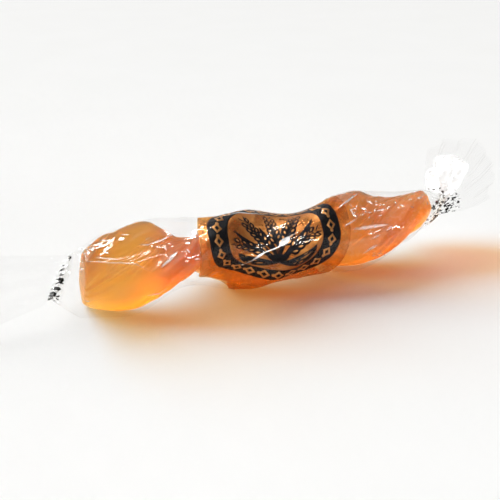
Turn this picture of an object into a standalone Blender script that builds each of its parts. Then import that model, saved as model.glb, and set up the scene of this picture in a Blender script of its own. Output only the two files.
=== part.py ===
"""A barley sugar stick in a clear twist wrapper, lying on its side.

The stick is a thick flat bar of boiled sugar, twisted left-handed over its whole length. It is
sealed in film: the film runs from crest to crest of the twist, is gathered in pleats just past
each end of the stick, and spreads into a tail. The sealed wrapper is one closed solid.
"""
import math

import bmesh
import bpy
import numpy as np

MM = 0.001

# Sugar stick
STICK_LENGTH = 80.0 * MM
STICK_WIDTH = 17.0 * MM
WAIST_WIDTH = 16.0 * MM            # under the printed band
WAIST_AT = 36.0 * MM
WAIST_REACH = 14.0 * MM
THICKNESS_LEFT = 7.4 * MM
THICKNESS_RIGHT = 9.5 * MM
THICKENS_FROM = 30.0 * MM
THICKENS_TO = 68.0 * MM
CORNER_POWER = 3.0                 # 2 is an ellipse, larger is squarer
FACE_CROWN = 0.24                  # share of the thickness lost from mid face to edge

# Twist, measured from the left end of the stick
HALF_TURN_LENGTH = 25.2 * MM
WIDE_AT = 10.7 * MM
WIDE_TILT = math.radians(62.9)     # direction of the width there, up from +Y
SLOW_START_TURN = math.radians(16.5)
SLOW_START_LENGTH = 14.0 * MM

# Ends: a blunt oblique cut on the left, a drawn-out tip on the right
LEFT_CUT_SLOPE = 0.19
LEFT_CUT_LENGTH = 8.0 * MM
LEFT_ROUNDING = 1.0 * MM
LEFT_ROUND_SHARE = 0.12
TIP_LENGTH = 16.0 * MM
TIP_WIDTH_SHARE = 0.30
TIP_NOSE_LENGTH = 4.0 * MM
TIP_NOSE_SHARE = 0.45
TIP_SLOPE = 0.30
TIP_SLOPE_LENGTH = 8.0 * MM

# Height of the stick's centre line at places along its length
CENTRE_LINE = (
    (0.0, 8.3 * MM),
    (6.0 * MM, 8.6 * MM),
    (11.0 * MM, 9.3 * MM),
    (17.0 * MM, 10.7 * MM),
    (24.0 * MM, 9.9 * MM),
    (35.0 * MM, 9.2 * MM),
    (50.0 * MM, 9.0 * MM),
    (60.0 * MM, 9.1 * MM),
    (70.0 * MM, 10.2 * MM),
    (80.0 * MM, 10.3 * MM),
)

# Film round the stick
FILM_GAP = 0.2 * MM
FILM_SAG = 1.4 * MM                # extra slack on the underside
SAG_POWER = 3                      # larger keeps the slack closer to the lowest line
TAUT_RADIUS = 110.0 * MM           # bridging curve over one groove of the twist
SLACK_RADIUS = 23.0 * MM           # and over the other groove
END_REACH = 24.0 * MM              # how far past the stick the curves are followed

# Gathers and tails: centre, lean and half height of each gather, then the fan beyond it
LEFT_GATHER = (-42.7 * MM, 0.0, 9.8 * MM)
LEFT_GATHER_LEAN = 0.55
LEFT_GATHER_HALF = 4.8 * MM
RIGHT_GATHER = (44.4 * MM, 0.0, 10.4 * MM)
RIGHT_GATHER_LEAN = 0.29
RIGHT_GATHER_HALF = 3.1 * MM
GATHER_THICKNESS = 1.7 * MM
GATHER_PLEATS = 16
GATHER_CRIMP = 0.4                 # depth of a pleat as a share of the thickness
TAIL_THICKNESS = 0.5 * MM
TAIL_LENGTH = 16.0 * MM
LEFT_TAIL_RISE = math.radians(182.0)    # direction the tail runs in, from +X toward +Z
LEFT_TAIL_SPREAD = math.radians(9.0)
LEFT_TAIL_TURN = math.radians(28.0)     # how far the fan rolls over to its tip
LEFT_PLEATS = 5.5
RIGHT_TAIL_RISE = math.radians(55.0)
RIGHT_TAIL_SPREAD = math.radians(54.0)
RIGHT_TAIL_TURN = math.radians(-14.0)
RIGHT_PLEATS = 7.5
PLEAT_DEPTH = 1.3 * MM
ROOT_PLEAT_SHARE = 0.25            # depth of the pleats at the root, as a share of PLEAT_DEPTH
OPEN_AT = 0.8                      # share of the tail at which the pleats are fully open
UNEVEN_SHARE = 0.35                # a second, longer wave makes the pleats uneven
UNEVEN_PLEATS = 1.7
THIN_AT = 0.25                     # share of the tail at which it is down to its thickness
ROOTED_TO = 0.3                    # share of the tail that still leans as the gather does

# Where the middle of the stick's length lies in the part's frame
STICK_MIDDLE = (-1.75 * MM, 0.0)

# Mesh
ROUND = 64
FINER = 3                          # the film is worked out on a mesh this much finer
BODY_SECTIONS = 45
CONE_SECTIONS = 4
TAIL_SECTIONS = 12
FLOOR = 0.0


def ramp(value, start, end):
    """Smooth step from 0 at start to 1 at end."""
    share = np.clip((value - start) / (end - start), 0.0, 1.0)
    return share * share * (3.0 - 2.0 * share)


def centre_height(along):
    """Height of the stick's centre line, a smooth curve through CENTRE_LINE."""
    places, heights = np.array(CENTRE_LINE).T
    slopes = np.gradient(heights, places)
    first = np.clip(np.searchsorted(places, along, side="right") - 1, 0, len(places) - 2)
    step = places[first + 1] - places[first]
    share = (along - places[first]) / step
    ease = share * share * (3.0 - 2.0 * share)
    leave = share * (1.0 - share) ** 2
    arrive = share * share * (share - 1.0)
    return (heights[first] * (1.0 - ease) + heights[first + 1] * ease
            + step * (leave * slopes[first] + arrive * slopes[first + 1]))


def width_direction(along):
    """Angle of the stick's width, from +Y toward +Z: it falls along the stick."""
    held = SLOW_START_TURN * (ramp(WIDE_AT, 0.0, SLOW_START_LENGTH)
                              - ramp(along, 0.0, SLOW_START_LENGTH))
    return WIDE_TILT - math.pi * (along - WIDE_AT) / HALF_TURN_LENGTH - held


def half_sizes(along):
    """Half the width and half the thickness of the stick."""
    thickness = THICKNESS_LEFT + (THICKNESS_RIGHT - THICKNESS_LEFT) * ramp(
        along, THICKENS_FROM, THICKENS_TO)
    left = np.clip(along / LEFT_ROUNDING, 0.0, 1.0)
    left = 1.0 - LEFT_ROUND_SHARE * (1.0 - np.sqrt(1.0 - (1.0 - left) ** 2))
    tip = np.clip((STICK_LENGTH - along) / TIP_LENGTH, 0.0, 1.0)
    tip = TIP_WIDTH_SHARE + (1.0 - TIP_WIDTH_SHARE) * np.sqrt(1.0 - (1.0 - tip) ** 2)
    nose = np.clip((STICK_LENGTH - along) / TIP_NOSE_LENGTH, 0.0, 1.0)
    nose = TIP_NOSE_SHARE + (1.0 - TIP_NOSE_SHARE) * np.sqrt(1.0 - (1.0 - nose) ** 2)
    waist = 1.0 - ramp(np.abs(along - WAIST_AT), 0.0, WAIST_REACH)
    width = STICK_WIDTH + (WAIST_WIDTH - STICK_WIDTH) * waist
    return width / 2 * left * tip, thickness / 2 * left * nose


def end_slope(along):
    """How much a section leans along the stick for each metre of height."""
    left = LEFT_CUT_SLOPE * (1.0 - ramp(along, 0.0, LEFT_CUT_LENGTH))
    right = TIP_SLOPE * ramp(along, STICK_LENGTH - TIP_SLOPE_LENGTH, STICK_LENGTH)
    return left + right


def stick_radius(along, angles):
    """Distance from the centre line to the sugar, for each place and each polar angle."""
    turned = angles - width_direction(along)[:, None]
    half_width, half_thick = half_sizes(along)
    across = np.abs(np.cos(turned)) / half_width[:, None]
    through = np.abs(np.sin(turned)) / half_thick[:, None]
    crown = 1.0 - FACE_CROWN * across / (across + through)
    through = through / crown
    return (across ** CORNER_POWER + through ** CORNER_POWER) ** (-1.0 / CORNER_POWER)


def bridged(along, radius, bow):
    """Film pulled over the crests of radius, hanging between them on a curve of radius bow."""
    step = along[1] - along[0]
    past = np.arange(1, int(END_REACH / step)) * step
    reach = np.concatenate([along[0] - past[::-1], along, along[-1] + past])
    drop = (reach[:, None] - along[None, :]) ** 2 / (2.0 * bow)
    outside = (radius[None, :, :] - drop[:, :, None]).max(axis=1)
    return (outside[:, None, :] + drop[:, :, None]).min(axis=0)


def film_radius(along):
    """Distance from the centre line to the film, on angles that turn with the twist."""
    fine = np.linspace(0.0, STICK_LENGTH, FINER * (len(along) - 1) + 1)
    angles = np.linspace(0.0, 2 * math.pi, FINER * ROUND, endpoint=False)
    sugar = stick_radius(fine, np.broadcast_to(angles, (len(fine), len(angles))))
    taut = bridged(fine, sugar, TAUT_RADIUS)
    slack = bridged(fine, sugar, SLACK_RADIUS)
    groove = width_direction(fine)[:, None] + math.pi / 2
    share = 0.5 + 0.5 * np.cos(angles[None, :] - groove)
    film = slack + (taut - slack) * share
    underside = np.clip(-np.sin(angles), 0.0, 1.0) ** SAG_POWER
    film = film + FILM_GAP + FILM_SAG * underside[None, :]
    whole_turn = np.append(angles, 2 * math.pi)
    rows = []
    for row, wanted in zip(film[::FINER], loop_angles(width_direction(along))):
        rows.append(np.interp(wanted % (2 * math.pi), whole_turn, np.append(row, row[0])))
    return np.array(rows)


def loop_angles(start):
    """Polar angles of the points of a section, the first of them at start."""
    return np.atleast_1d(start)[:, None] + np.arange(ROUND) * 2 * math.pi / ROUND


def snapped(angle):
    """The nearest angle at which a point of the loop falls on the tail's edge."""
    step = 2 * math.pi / ROUND
    return round(float(angle) / step) * step


def body_sections():
    """Loops of points round the film, from the left end of the stick to the right."""
    along = np.linspace(0.0, STICK_LENGTH, BODY_SECTIONS)
    radius = film_radius(along)
    angles = loop_angles(width_direction(along))
    sideways = radius * np.cos(angles)
    upward = radius * np.sin(angles)
    lengthwise = (along - STICK_LENGTH / 2)[:, None] + end_slope(along)[:, None] * upward
    height = centre_height(along)[:, None] + upward
    return np.stack([lengthwise, sideways, height], axis=-1)


def gather_loop(centre, lean, half_height, first_angle):
    """The flattened ring of pleats where the film is gathered."""
    angles = loop_angles(first_angle)[0]
    up = half_height * np.sin(angles)
    side = GATHER_THICKNESS / 2 * np.cos(angles) * (1.0 + GATHER_CRIMP * np.cos(GATHER_PLEATS * angles))
    return np.array(centre) + np.stack([lean * up, side, up], axis=-1)


def cone_sections(rim, ring):
    """Film drawn straight from the rim of the stick's end to its gather."""
    shares = np.linspace(0.0, 1.0, CONE_SECTIONS + 1)[1:-1]
    return [rim + (ring - rim) * share for share in shares]


def tail_sections(centre, lean, half_height, first_angle, rise, spread, turn, pleats):
    """A pleated fan beyond a gather, from its root outward."""
    angles = loop_angles(first_angle)[0]
    across = np.sin(angles)
    sideways_dir = np.array([0.0, 1.0, 0.0])
    along_dir = np.array([math.cos(rise), 0.0, math.sin(rise)])
    upright_dir = np.array([-math.sin(rise), 0.0, math.cos(rise)])
    if upright_dir[2] < 0:
        upright_dir = -upright_dir
    root_radius = half_height / math.sin(spread)
    root = gather_loop(centre, lean, half_height, first_angle)
    pleat = np.sin(pleats * math.pi * across)
    uneven = UNEVEN_SHARE * np.sin(UNEVEN_PLEATS * pleats * across + 1.0)
    loops = [root]
    for share in np.linspace(0.0, 1.0, TAIL_SECTIONS + 1)[1:]:
        roll = turn * share
        width_dir = upright_dir * math.cos(roll) + sideways_dir * math.sin(roll)
        face_dir = sideways_dir * math.cos(roll) - upright_dir * math.sin(roll)
        radius = root_radius + TAIL_LENGTH * share
        outward = radius * np.cos(spread * across) - root_radius * math.cos(spread)
        sideways = radius * np.sin(spread * across)
        depth = PLEAT_DEPTH * (ROOT_PLEAT_SHARE + (1.0 - ROOT_PLEAT_SHARE) * ramp(share, 0.0, OPEN_AT))
        thick = GATHER_THICKNESS + (TAIL_THICKNESS - GATHER_THICKNESS) * ramp(share, 0.0, THIN_AT)
        lift = depth * (pleat + uneven) + thick / 2 * np.cos(angles)
        fan = (np.array(centre) + outward[:, None] * along_dir
               + sideways[:, None] * width_dir + lift[:, None] * face_dir)
        rooted = 1.0 - ramp(share, 0.0, ROOTED_TO)
        loops.append(fan * (1.0 - rooted) + (root + share * TAIL_LENGTH * along_dir) * rooted)
    return loops


def wrapper_loops():
    """All sections in order, from the tip of the left tail to the tip of the right tail."""
    body = body_sections()
    left_angle = snapped(width_direction(0.0))
    right_angle = snapped(width_direction(STICK_LENGTH))
    left = tail_sections(LEFT_GATHER, LEFT_GATHER_LEAN, LEFT_GATHER_HALF, left_angle,
                         LEFT_TAIL_RISE, LEFT_TAIL_SPREAD, LEFT_TAIL_TURN, LEFT_PLEATS)
    right = tail_sections(RIGHT_GATHER, RIGHT_GATHER_LEAN, RIGHT_GATHER_HALF, right_angle,
                          RIGHT_TAIL_RISE, RIGHT_TAIL_SPREAD, RIGHT_TAIL_TURN, RIGHT_PLEATS)
    loops = left[::-1] + cone_sections(body[0], left[0])[::-1] + list(body)
    loops += cone_sections(body[-1], right[0]) + right
    loops = np.array(loops)
    loops[:, :, 0] += STICK_MIDDLE[0]
    loops[:, :, 1] += STICK_MIDDLE[1]
    loops[:, :, 2] = np.maximum(loops[:, :, 2], FLOOR)
    return loops, left_angle, right_angle


def close_tip(mesh, ring, first_angle, flip):
    """Close the thin end of a tail with strips between its two faces."""
    step = 2 * math.pi / ROUND
    top = int(round((math.pi / 2 - first_angle) / step)) % ROUND
    for index in range(ROUND // 2):
        corners = []
        for offset in (index, index + 1, -index - 1, -index):
            vertex = ring[(top + offset) % ROUND]
            if vertex not in corners:
                corners.append(vertex)
        mesh.faces.new(corners[::-1] if flip else corners)


def build_wrapper():
    """The wrapped stick as one closed mesh object."""
    loops, left_angle, right_angle = wrapper_loops()
    mesh = bmesh.new()
    rings = [[mesh.verts.new(point) for point in loop] for loop in loops]
    for near, far in zip(rings, rings[1:]):
        for index in range(ROUND):
            after = (index + 1) % ROUND
            mesh.faces.new((near[index], near[after], far[after], far[index]))
    close_tip(mesh, rings[0], left_angle, True)
    close_tip(mesh, rings[-1], right_angle, False)
    bmesh.ops.triangulate(mesh, faces=mesh.faces[:])
    bmesh.ops.recalc_face_normals(mesh, faces=mesh.faces[:])
    data = bpy.data.meshes.new("wrapped_stick")
    mesh.to_mesh(data)
    mesh.free()
    data.shade_smooth()
    wrapper = bpy.data.objects.new("wrapped_stick", data)
    bpy.context.scene.collection.objects.link(wrapper)
    return wrapper


def amber_sugar():
    """Clear orange boiled sugar under film."""
    material = bpy.data.materials.new("amber_sugar")
    material.use_nodes = True
    shader = material.node_tree.nodes["Principled BSDF"]
    shader.inputs["Base Color"].default_value = (0.74, 0.28, 0.05, 1.0)
    shader.inputs["Roughness"].default_value = 0.12
    shader.inputs["Metallic"].default_value = 0.0
    material.diffuse_color = (0.74, 0.28, 0.05, 1.0)
    return material


def main():
    for old in list(bpy.data.objects):
        bpy.data.objects.remove(old, do_unlink=True)
    build_wrapper().data.materials.append(amber_sugar())


main()
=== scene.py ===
"""A barley sugar stick in a clear twist wrapper: its looks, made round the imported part.

The sugar stick is swept along its own centre line by a geometry tree. The film is pulled over it,
gathered past both ends and fanned into tails. The print is laid out flat and then wrapped onto the
film. Lengths are metres in the part's own frame; along is measured from the left end of the stick,
and angle is the polar angle round its centre line, from +Y toward +Z.
"""

import math

import bpy
import numpy as np
from mathutils import Matrix, Vector


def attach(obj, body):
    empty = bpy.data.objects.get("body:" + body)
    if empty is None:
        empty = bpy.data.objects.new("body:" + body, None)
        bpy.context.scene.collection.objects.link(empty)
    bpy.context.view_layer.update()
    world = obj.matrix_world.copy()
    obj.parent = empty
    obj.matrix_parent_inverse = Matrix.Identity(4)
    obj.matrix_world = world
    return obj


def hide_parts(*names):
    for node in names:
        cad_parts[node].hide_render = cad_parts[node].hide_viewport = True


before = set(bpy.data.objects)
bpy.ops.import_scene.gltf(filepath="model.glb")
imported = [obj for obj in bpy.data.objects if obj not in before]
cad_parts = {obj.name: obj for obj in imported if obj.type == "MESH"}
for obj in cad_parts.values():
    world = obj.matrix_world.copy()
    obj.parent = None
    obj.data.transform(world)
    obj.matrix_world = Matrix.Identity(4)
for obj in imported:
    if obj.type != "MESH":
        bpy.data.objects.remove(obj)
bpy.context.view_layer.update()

bl_info = {
    "name": "Wrapped barley sugar stick",
    "version": (1, 0, 0),
    "blender": (4, 5, 0),
    "location": "3D View > Sidebar > Barley sugar",
    "description": "Makes a twisted barley sugar stick in a clear, printed film wrapper",
    "category": "Add Mesh",
}

MM = 0.001
TURN = 2 * math.pi
BODY = "root"
NODE = "wrapped_stick"

# Height of the stick's centre line at places along its length
CENTRE_LINE = (
    (0.0, 8.3 * MM),
    (6.0 * MM, 8.6 * MM),
    (11.0 * MM, 9.3 * MM),
    (17.0 * MM, 10.7 * MM),
    (24.0 * MM, 9.9 * MM),
    (35.0 * MM, 9.2 * MM),
    (50.0 * MM, 9.0 * MM),
    (60.0 * MM, 9.1 * MM),
    (70.0 * MM, 10.2 * MM),
    (80.0 * MM, 10.3 * MM),
)
STICK_MIDDLE = Vector((-1.75 * MM, 0.0, 0.0))

# Leans of the two end sections, as travel along the stick for each metre of height
LEFT_CUT_SLOPE = 0.05
LEFT_CUT_LENGTH = 8.0 * MM
TIP_SLOPE = 0.42
TIP_SLOPE_LENGTH = 8.0 * MM

# Closing rings of the two ends: share of the full section, how far each end bulges, and how far
# the blunt end stands in
CAP_SHARES = (0.03, 0.35, 0.62, 0.82, 0.95)
LEFT_BULGE = 0.5 * MM
TIP_BULGE = 1.0 * MM
LEFT_START = 1.2 * MM

# Mesh fineness
STICK_ROWS = 200
STICK_SIDES = 120
FILM_ROWS = 232
FILM_SIDES = 176
CONE_ROWS = 20
TAIL_ROWS = 64
FILM_ANGLES = np.arange(FILM_SIDES) * TURN / FILM_SIDES
BAND_ROWS = 110
BAND_SIDES = 240
RING_ROWS = 12
RING_SIDES = 420
GROUND_ROWS = 60
GROUND_SIDES = 300
MARK_STEPS = 400

# Folds that stand up from the film: (along in mm, angle in degrees) at each corner, then height
# and half width in mm, and how rounded the fold is
FOLDS = (
    (((11.0, 117.0), (14.5, 129.0), (16.5, 129.0), (20.5, 117.0)), 0.16, 0.5, 0.0),
    (((-4.0, 126.0), (3.8, 132.5), (8.2, 140.0), (11.2, 149.0), (16.5, 180.0)), 0.95, 4.0, 0.0),
    (((54.0, 124.0), (64.5, 78.0)), 0.30, 0.5, 0.0),
    (((58.8, 109.5), (60.0, 130.5), (56.0, 146.0)), 0.26, 0.6, 0.0),
    (((30.0, 200.0), (36.0, 176.0), (41.0, 159.0), (43.8, 145.0), (49.0, 136.0)), 0.34, 1.5, 1.0),
    (((60.0, 176.0), (66.0, 160.0), (71.0, 142.0)), 0.20, 1.1, 0.0),
    (((62.0, 196.0), (68.0, 176.0), (74.0, 158.0)), 0.16, 0.8, 0.0),
    (((66.0, 126.0), (72.0, 112.0), (77.0, 106.0)), 0.22, 0.6, 0.0),
    (((13.0, 172.0), (19.0, 152.0), (25.0, 128.0)), 0.30, 0.9, 0.0),
    (((20.0, 196.0), (27.0, 172.0)), 0.24, 0.6, 0.0),
    (((22.0, 206.0), (29.5, 182.0)), 0.20, 0.5, 0.0),
    (((2.0, 118.0), (8.0, 104.0)), 0.18, 0.5, 0.0),
)

# Sharp creases that catch the light, and white strips that paint highlights and glints such as the
# streak on the label: corners as above, then width in mm and brightness
CREASES_AND_HIGHLIGHTS = (
    (((12.0, 122), (14.0, 129), (16.8, 129), (19.8, 120)), 0.30, 0.50),
    (((0.2, 129), (3.8, 132), (8.2, 140), (11.0, 148), (14.0, 170)), 0.24, 0.28),
    (((3.3, 126), (8.2, 135)), 0.22, 0.30),
    (((9.5, 93), (11.2, 98)), 0.35, 0.60),
    (((9.2, 105), (10.2, 102)), 0.42, 1.00),
    (((3.8, 108), (5.5, 108)), 0.42, 0.90),
    (((3.3, 115), (5.2, 111), (7.2, 106)), 0.28, 0.85),
    (((5.2, 101), (7.2, 102)), 0.22, 0.50),
    (((0.8, 105), (1.5, 108)), 0.30, 0.60),
    (((1.0, 119), (2.8, 120)), 0.24, 0.50),
    (((0.0, 136), (1.0, 138)), 0.35, 0.50),
    (((0.8, 208), (1.8, 212)), 0.35, 0.50),
    (((21.0, 138), (22.2, 136)), 0.35, 0.60),
    (((20.8, 158), (21.8, 158)), 0.35, 0.50),
    (((15.5, 168), (17.5, 160), (19.5, 148)), 0.60, 0.70),
    (((16.8, 159), (19.0, 150)), 0.25, 0.50),
    (((12.2, 208), (14.8, 206), (16.8, 198)), 0.30, 0.45),
    (((26.0, 210), (28.2, 197)), 0.24, 0.50),
    (((30.5, 92), (35.5, 84), (41.8, 76)), 0.30, 0.70),
    # Painted highlight: the white streak across the label and its bright core
    (((33.0, 188), (35.8, 177), (38.0, 166), (41.0, 159), (43.8, 144), (46.2, 139)), 0.28, 0.70),
    (((35.2, 179), (36.6, 172), (38.2, 165)), 0.60, 0.80),
    (((41.0, 158), (42.2, 153), (43.8, 144)), 1.30, 1.00),
    (((32.7, 188), (33.5, 187)), 0.45, 0.80),
    (((55.8, 115), (59.3, 102), (63.5, 82)), 0.34, 0.85),
    (((56.2, 144), (59.8, 135)), 0.30, 0.60),
    (((59.0, 114), (59.3, 128), (59.8, 135)), 0.26, 0.50),
    (((64.2, 106), (64.8, 115)), 0.42, 1.00),
    (((65.8, 110), (66.2, 112)), 0.32, 0.85),
    (((65.2, 117), (66.0, 120)), 0.36, 0.95),
    (((66.8, 120), (67.5, 123)), 0.30, 0.75),
    (((61.5, 117), (63.0, 123)), 0.38, 0.90),
    (((64.8, 130), (67.2, 132)), 0.28, 0.80),
    (((65.0, 140), (65.8, 141)), 0.28, 0.70),
    (((62.5, 138), (63.0, 138)), 0.32, 0.70),
    (((70.8, 129), (71.8, 134)), 0.30, 0.60),
    (((75.0, 122), (76.2, 122)), 0.38, 0.75),
    (((63.0, 206), (63.8, 204)), 0.34, 0.90),
    (((64.2, 202), (65.5, 204)), 0.28, 0.75),
    (((57.5, 150), (62.2, 154), (67.0, 159)), 0.80, 0.30),
    (((61.8, 174), (64.8, 171)), 0.50, 0.35),
    (((65.8, 168), (67.8, 162)), 0.50, 0.35),
    (((60.2, 197), (62.2, 190), (64.2, 186)), 0.65, 0.35),
)

# Places where short painted glints, small white strips, are scattered: along from and to in mm,
# angle from and to in degrees, and their number
GLINTS = (
    (0.4, 7.5, 102.0, 124.0, 30),
    (59.0, 69.0, 104.0, 134.0, 16),
    (70.0, 77.5, 112.0, 140.0, 5),
    (60.0, 68.0, 196.0, 208.0, 6),
    (17.0, 23.5, 136.0, 168.0, 4),
)


class StickSettings(bpy.types.PropertyGroup):
    """The boiled sugar stick."""

    length: bpy.props.FloatProperty(
        name="Length", description="Length of the sugar stick", default=80.0 * MM, unit="LENGTH")
    width: bpy.props.FloatProperty(
        name="Width", description="Width of the bar across its flat faces", default=17.0 * MM,
        unit="LENGTH")
    waist_width: bpy.props.FloatProperty(
        name="Waist width", description="Width of the bar under the printed band",
        default=16.0 * MM, unit="LENGTH")
    left_thickness: bpy.props.FloatProperty(
        name="Left thickness", description="Thickness of the bar at its blunt end",
        default=7.4 * MM, unit="LENGTH")
    right_thickness: bpy.props.FloatProperty(
        name="Right thickness", description="Thickness of the bar toward its drawn-out tip",
        default=9.5 * MM, unit="LENGTH")
    half_turn: bpy.props.FloatProperty(
        name="Half turn", description="Length of stick in which the bar turns half round",
        default=25.2 * MM, unit="LENGTH")
    wide_tilt: bpy.props.FloatProperty(
        name="Tilt", description="Angle of the bar's width where it first stands widest",
        default=math.radians(62.9), subtype="ANGLE")
    unevenness: bpy.props.FloatProperty(
        name="Unevenness", description="Deepest dent in the pulled surface", default=0.35 * MM,
        unit="LENGTH", precision=5)
    pull_lines: bpy.props.FloatProperty(
        name="Pull lines", description="Depth of the long lines left where the sugar was pulled",
        default=0.42 * MM, unit="LENGTH", precision=5)
    seed: bpy.props.IntProperty(
        name="Seed", description="Pattern of the dents", default=4, min=0)
    absorbed: bpy.props.FloatVectorProperty(
        name="Absorbed colour", description="What is left of white light by the sugar's depth",
        default=(0.965, 0.70, 0.10), subtype="COLOR", size=3, min=0.0, max=1.0)
    density: bpy.props.FloatProperty(
        name="Colour depth", description="How fast the sugar takes colour, for each metre",
        default=260.0, min=0.0)


class FilmSettings(bpy.types.PropertyGroup):
    """The clear film, its gathers and its tails."""

    gap: bpy.props.FloatProperty(
        name="Gap", description="Air between the crests of the stick and the film",
        default=0.2 * MM, unit="LENGTH", precision=5)
    sag: bpy.props.FloatProperty(
        name="Sag", description="Extra slack of the film on its underside", default=1.4 * MM,
        unit="LENGTH", precision=5)
    taut_radius: bpy.props.FloatProperty(
        name="Taut radius", description="Curve of the film over the tight groove",
        default=110.0 * MM, unit="LENGTH")
    slack_radius: bpy.props.FloatProperty(
        name="Slack radius", description="Curve of the film over the loose groove",
        default=23.0 * MM, unit="LENGTH")
    thickness: bpy.props.FloatProperty(
        name="Film thickness", description="Thickness of the film", default=0.04 * MM,
        unit="LENGTH", precision=6)
    crumple: bpy.props.FloatProperty(
        name="Crumple", description="Height of the fine facets all over the film",
        default=0.10 * MM, unit="LENGTH", precision=5)
    tail_length: bpy.props.FloatProperty(
        name="Tail length", description="Length of film beyond each gather", default=16.0 * MM,
        unit="LENGTH")
    pleat_depth: bpy.props.FloatProperty(
        name="Pleat depth", description="Depth of the pleats at the open end of a tail",
        default=1.3 * MM, unit="LENGTH", precision=5)
    seed: bpy.props.IntProperty(
        name="Seed", description="Pattern of the wrinkles", default=11, min=0)


class PrintSettings(bpy.types.PropertyGroup):
    """The printed band, its oval ring and the barley inside it."""

    centre_along: bpy.props.FloatProperty(
        name="Centre", description="Place of the print's centre along the stick",
        default=40.7 * MM, unit="LENGTH")
    centre_angle: bpy.props.FloatProperty(
        name="Facing", description="Angle round the stick that the print's centre faces",
        default=math.radians(138.0), subtype="ANGLE")
    band_length: bpy.props.FloatProperty(
        name="Band length", description="Length of the gold band along the stick",
        default=30.4 * MM, unit="LENGTH")
    ring_length: bpy.props.FloatProperty(
        name="Ring length", description="Outer length of the black ring", default=29.2 * MM,
        unit="LENGTH")
    ring_height: bpy.props.FloatProperty(
        name="Ring height", description="Outer height of the black ring", default=21.4 * MM,
        unit="LENGTH")
    ring_side: bpy.props.FloatProperty(
        name="Ring side", description="Width of the black ring at its left and right",
        default=4.4 * MM, unit="LENGTH")
    ring_top: bpy.props.FloatProperty(
        name="Ring top", description="Width of the black ring at its top and bottom",
        default=2.5 * MM, unit="LENGTH")
    gold: bpy.props.FloatVectorProperty(
        name="Gold", description="Colour of the gold ink", default=(0.62, 0.27, 0.07),
        subtype="COLOR", size=3, min=0.0, max=1.0)
    black: bpy.props.FloatVectorProperty(
        name="Black", description="Colour of the black ink", default=(0.006, 0.005, 0.007),
        subtype="COLOR", size=3, min=0.0, max=1.0)


class StageSettings(bpy.types.PropertyGroup):
    """The camera, the table and the light."""

    azimuth: bpy.props.FloatProperty(
        name="Azimuth", description="Direction that the camera stands in, from -Y",
        default=math.radians(-20.5), subtype="ANGLE")
    elevation: bpy.props.FloatProperty(
        name="Elevation", description="Height of the camera above the table, as an angle",
        default=math.radians(28.0), subtype="ANGLE")
    distance: bpy.props.FloatProperty(
        name="Distance", description="Distance of the camera from the point it looks at",
        default=144.0 * MM, unit="LENGTH")
    focal_length: bpy.props.FloatProperty(
        name="Focal length", description="Focal length in millimetres on a 36 mm frame",
        default=48.17)
    key_azimuth: bpy.props.FloatProperty(
        name="Key azimuth", description="Direction that the main light comes from, from -Y",
        default=math.radians(-124.2), subtype="ANGLE")
    key_elevation: bpy.props.FloatProperty(
        name="Key elevation", description="Height of the main light, as an angle",
        default=math.radians(32.5), subtype="ANGLE")
    key_distance: bpy.props.FloatProperty(
        name="Key distance", description="Distance of the main light from the stick",
        default=80.0 * MM, unit="LENGTH")
    key_radius: bpy.props.FloatProperty(
        name="Key radius", description="Radius of the main light", default=24.0 * MM, unit="LENGTH")
    key_strength: bpy.props.FloatProperty(
        name="Key strength", description="Strength of the main light at the stick", default=3.85)


class Term:
    """A value in a node tree. Plain arithmetic on it adds Math nodes to that tree."""

    def __init__(self, tree, socket):
        self.tree = tree
        self.socket = socket

    def put(self, operation, *values):
        """A Math node of that operation on these values, terms or plain numbers."""
        node = self.tree.nodes.new("ShaderNodeMath")
        node.operation = operation
        for place, value in zip(node.inputs, values):
            feed(self.tree, place, value)
        return Term(self.tree, node.outputs[0])

    def __add__(self, other):
        return self.put("ADD", self, other)

    __radd__ = __add__

    def __sub__(self, other):
        return self.put("SUBTRACT", self, other)

    def __rsub__(self, other):
        return self.put("SUBTRACT", other, self)

    def __mul__(self, other):
        return self.put("MULTIPLY", self, other)

    __rmul__ = __mul__

    def __truediv__(self, other):
        return self.put("DIVIDE", self, other)

    def __pow__(self, other):
        return self.put("POWER", self, other)

    def __abs__(self):
        return self.put("ABSOLUTE", self)

    def cos(self):
        return self.put("COSINE", self)

    def sin(self):
        return self.put("SINE", self)

    def held(self, low, high):
        """The value kept between low and high."""
        return self.put("MINIMUM", self.put("MAXIMUM", self, low), high)

    def ramp(self, start, end):
        """A smooth step from 0 at start to 1 at end."""
        node = self.tree.nodes.new("ShaderNodeMapRange")
        node.interpolation_type = "SMOOTHSTEP"
        for name, value in (("Value", self), ("From Min", start), ("From Max", end)):
            feed(self.tree, node.inputs[name], value)
        return Term(self.tree, node.outputs["Result"])


def feed(tree, place, value):
    """Set an input socket, or link it where the value is a term or an output."""
    if isinstance(value, Term):
        tree.links.new(value.socket, place)
    elif isinstance(value, bpy.types.NodeSocket):
        tree.links.new(value, place)
    else:
        place.default_value = value


def add(tree, kind, inputs=None, **settings):
    """A node of that kind, with its settings and its inputs by name or number."""
    node = tree.nodes.new(kind)
    for name, value in settings.items():
        setattr(node, name, value)
    for name, value in (inputs or {}).items():
        feed(tree, node.inputs[name], value)
    return node


def ramp(value, start, end):
    """Smooth step from 0 at start to 1 at end."""
    share = np.clip((value - start) / (end - start), 0.0, 1.0)
    return share * share * (3.0 - 2.0 * share)


def centre_height(along):
    """Height of the stick's centre line, a smooth curve through CENTRE_LINE."""
    places, heights = np.array(CENTRE_LINE).T
    slopes = np.gradient(heights, places)
    first = np.clip(np.searchsorted(places, along, side="right") - 1, 0, len(places) - 2)
    step = places[first + 1] - places[first]
    share = (along - places[first]) / step
    ease = share * share * (3.0 - 2.0 * share)
    leave = share * (1.0 - share) ** 2
    arrive = share * share * (share - 1.0)
    return (heights[first] * (1.0 - ease) + heights[first + 1] * ease
            + step * (leave * slopes[first] + arrive * slopes[first + 1]))


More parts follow.
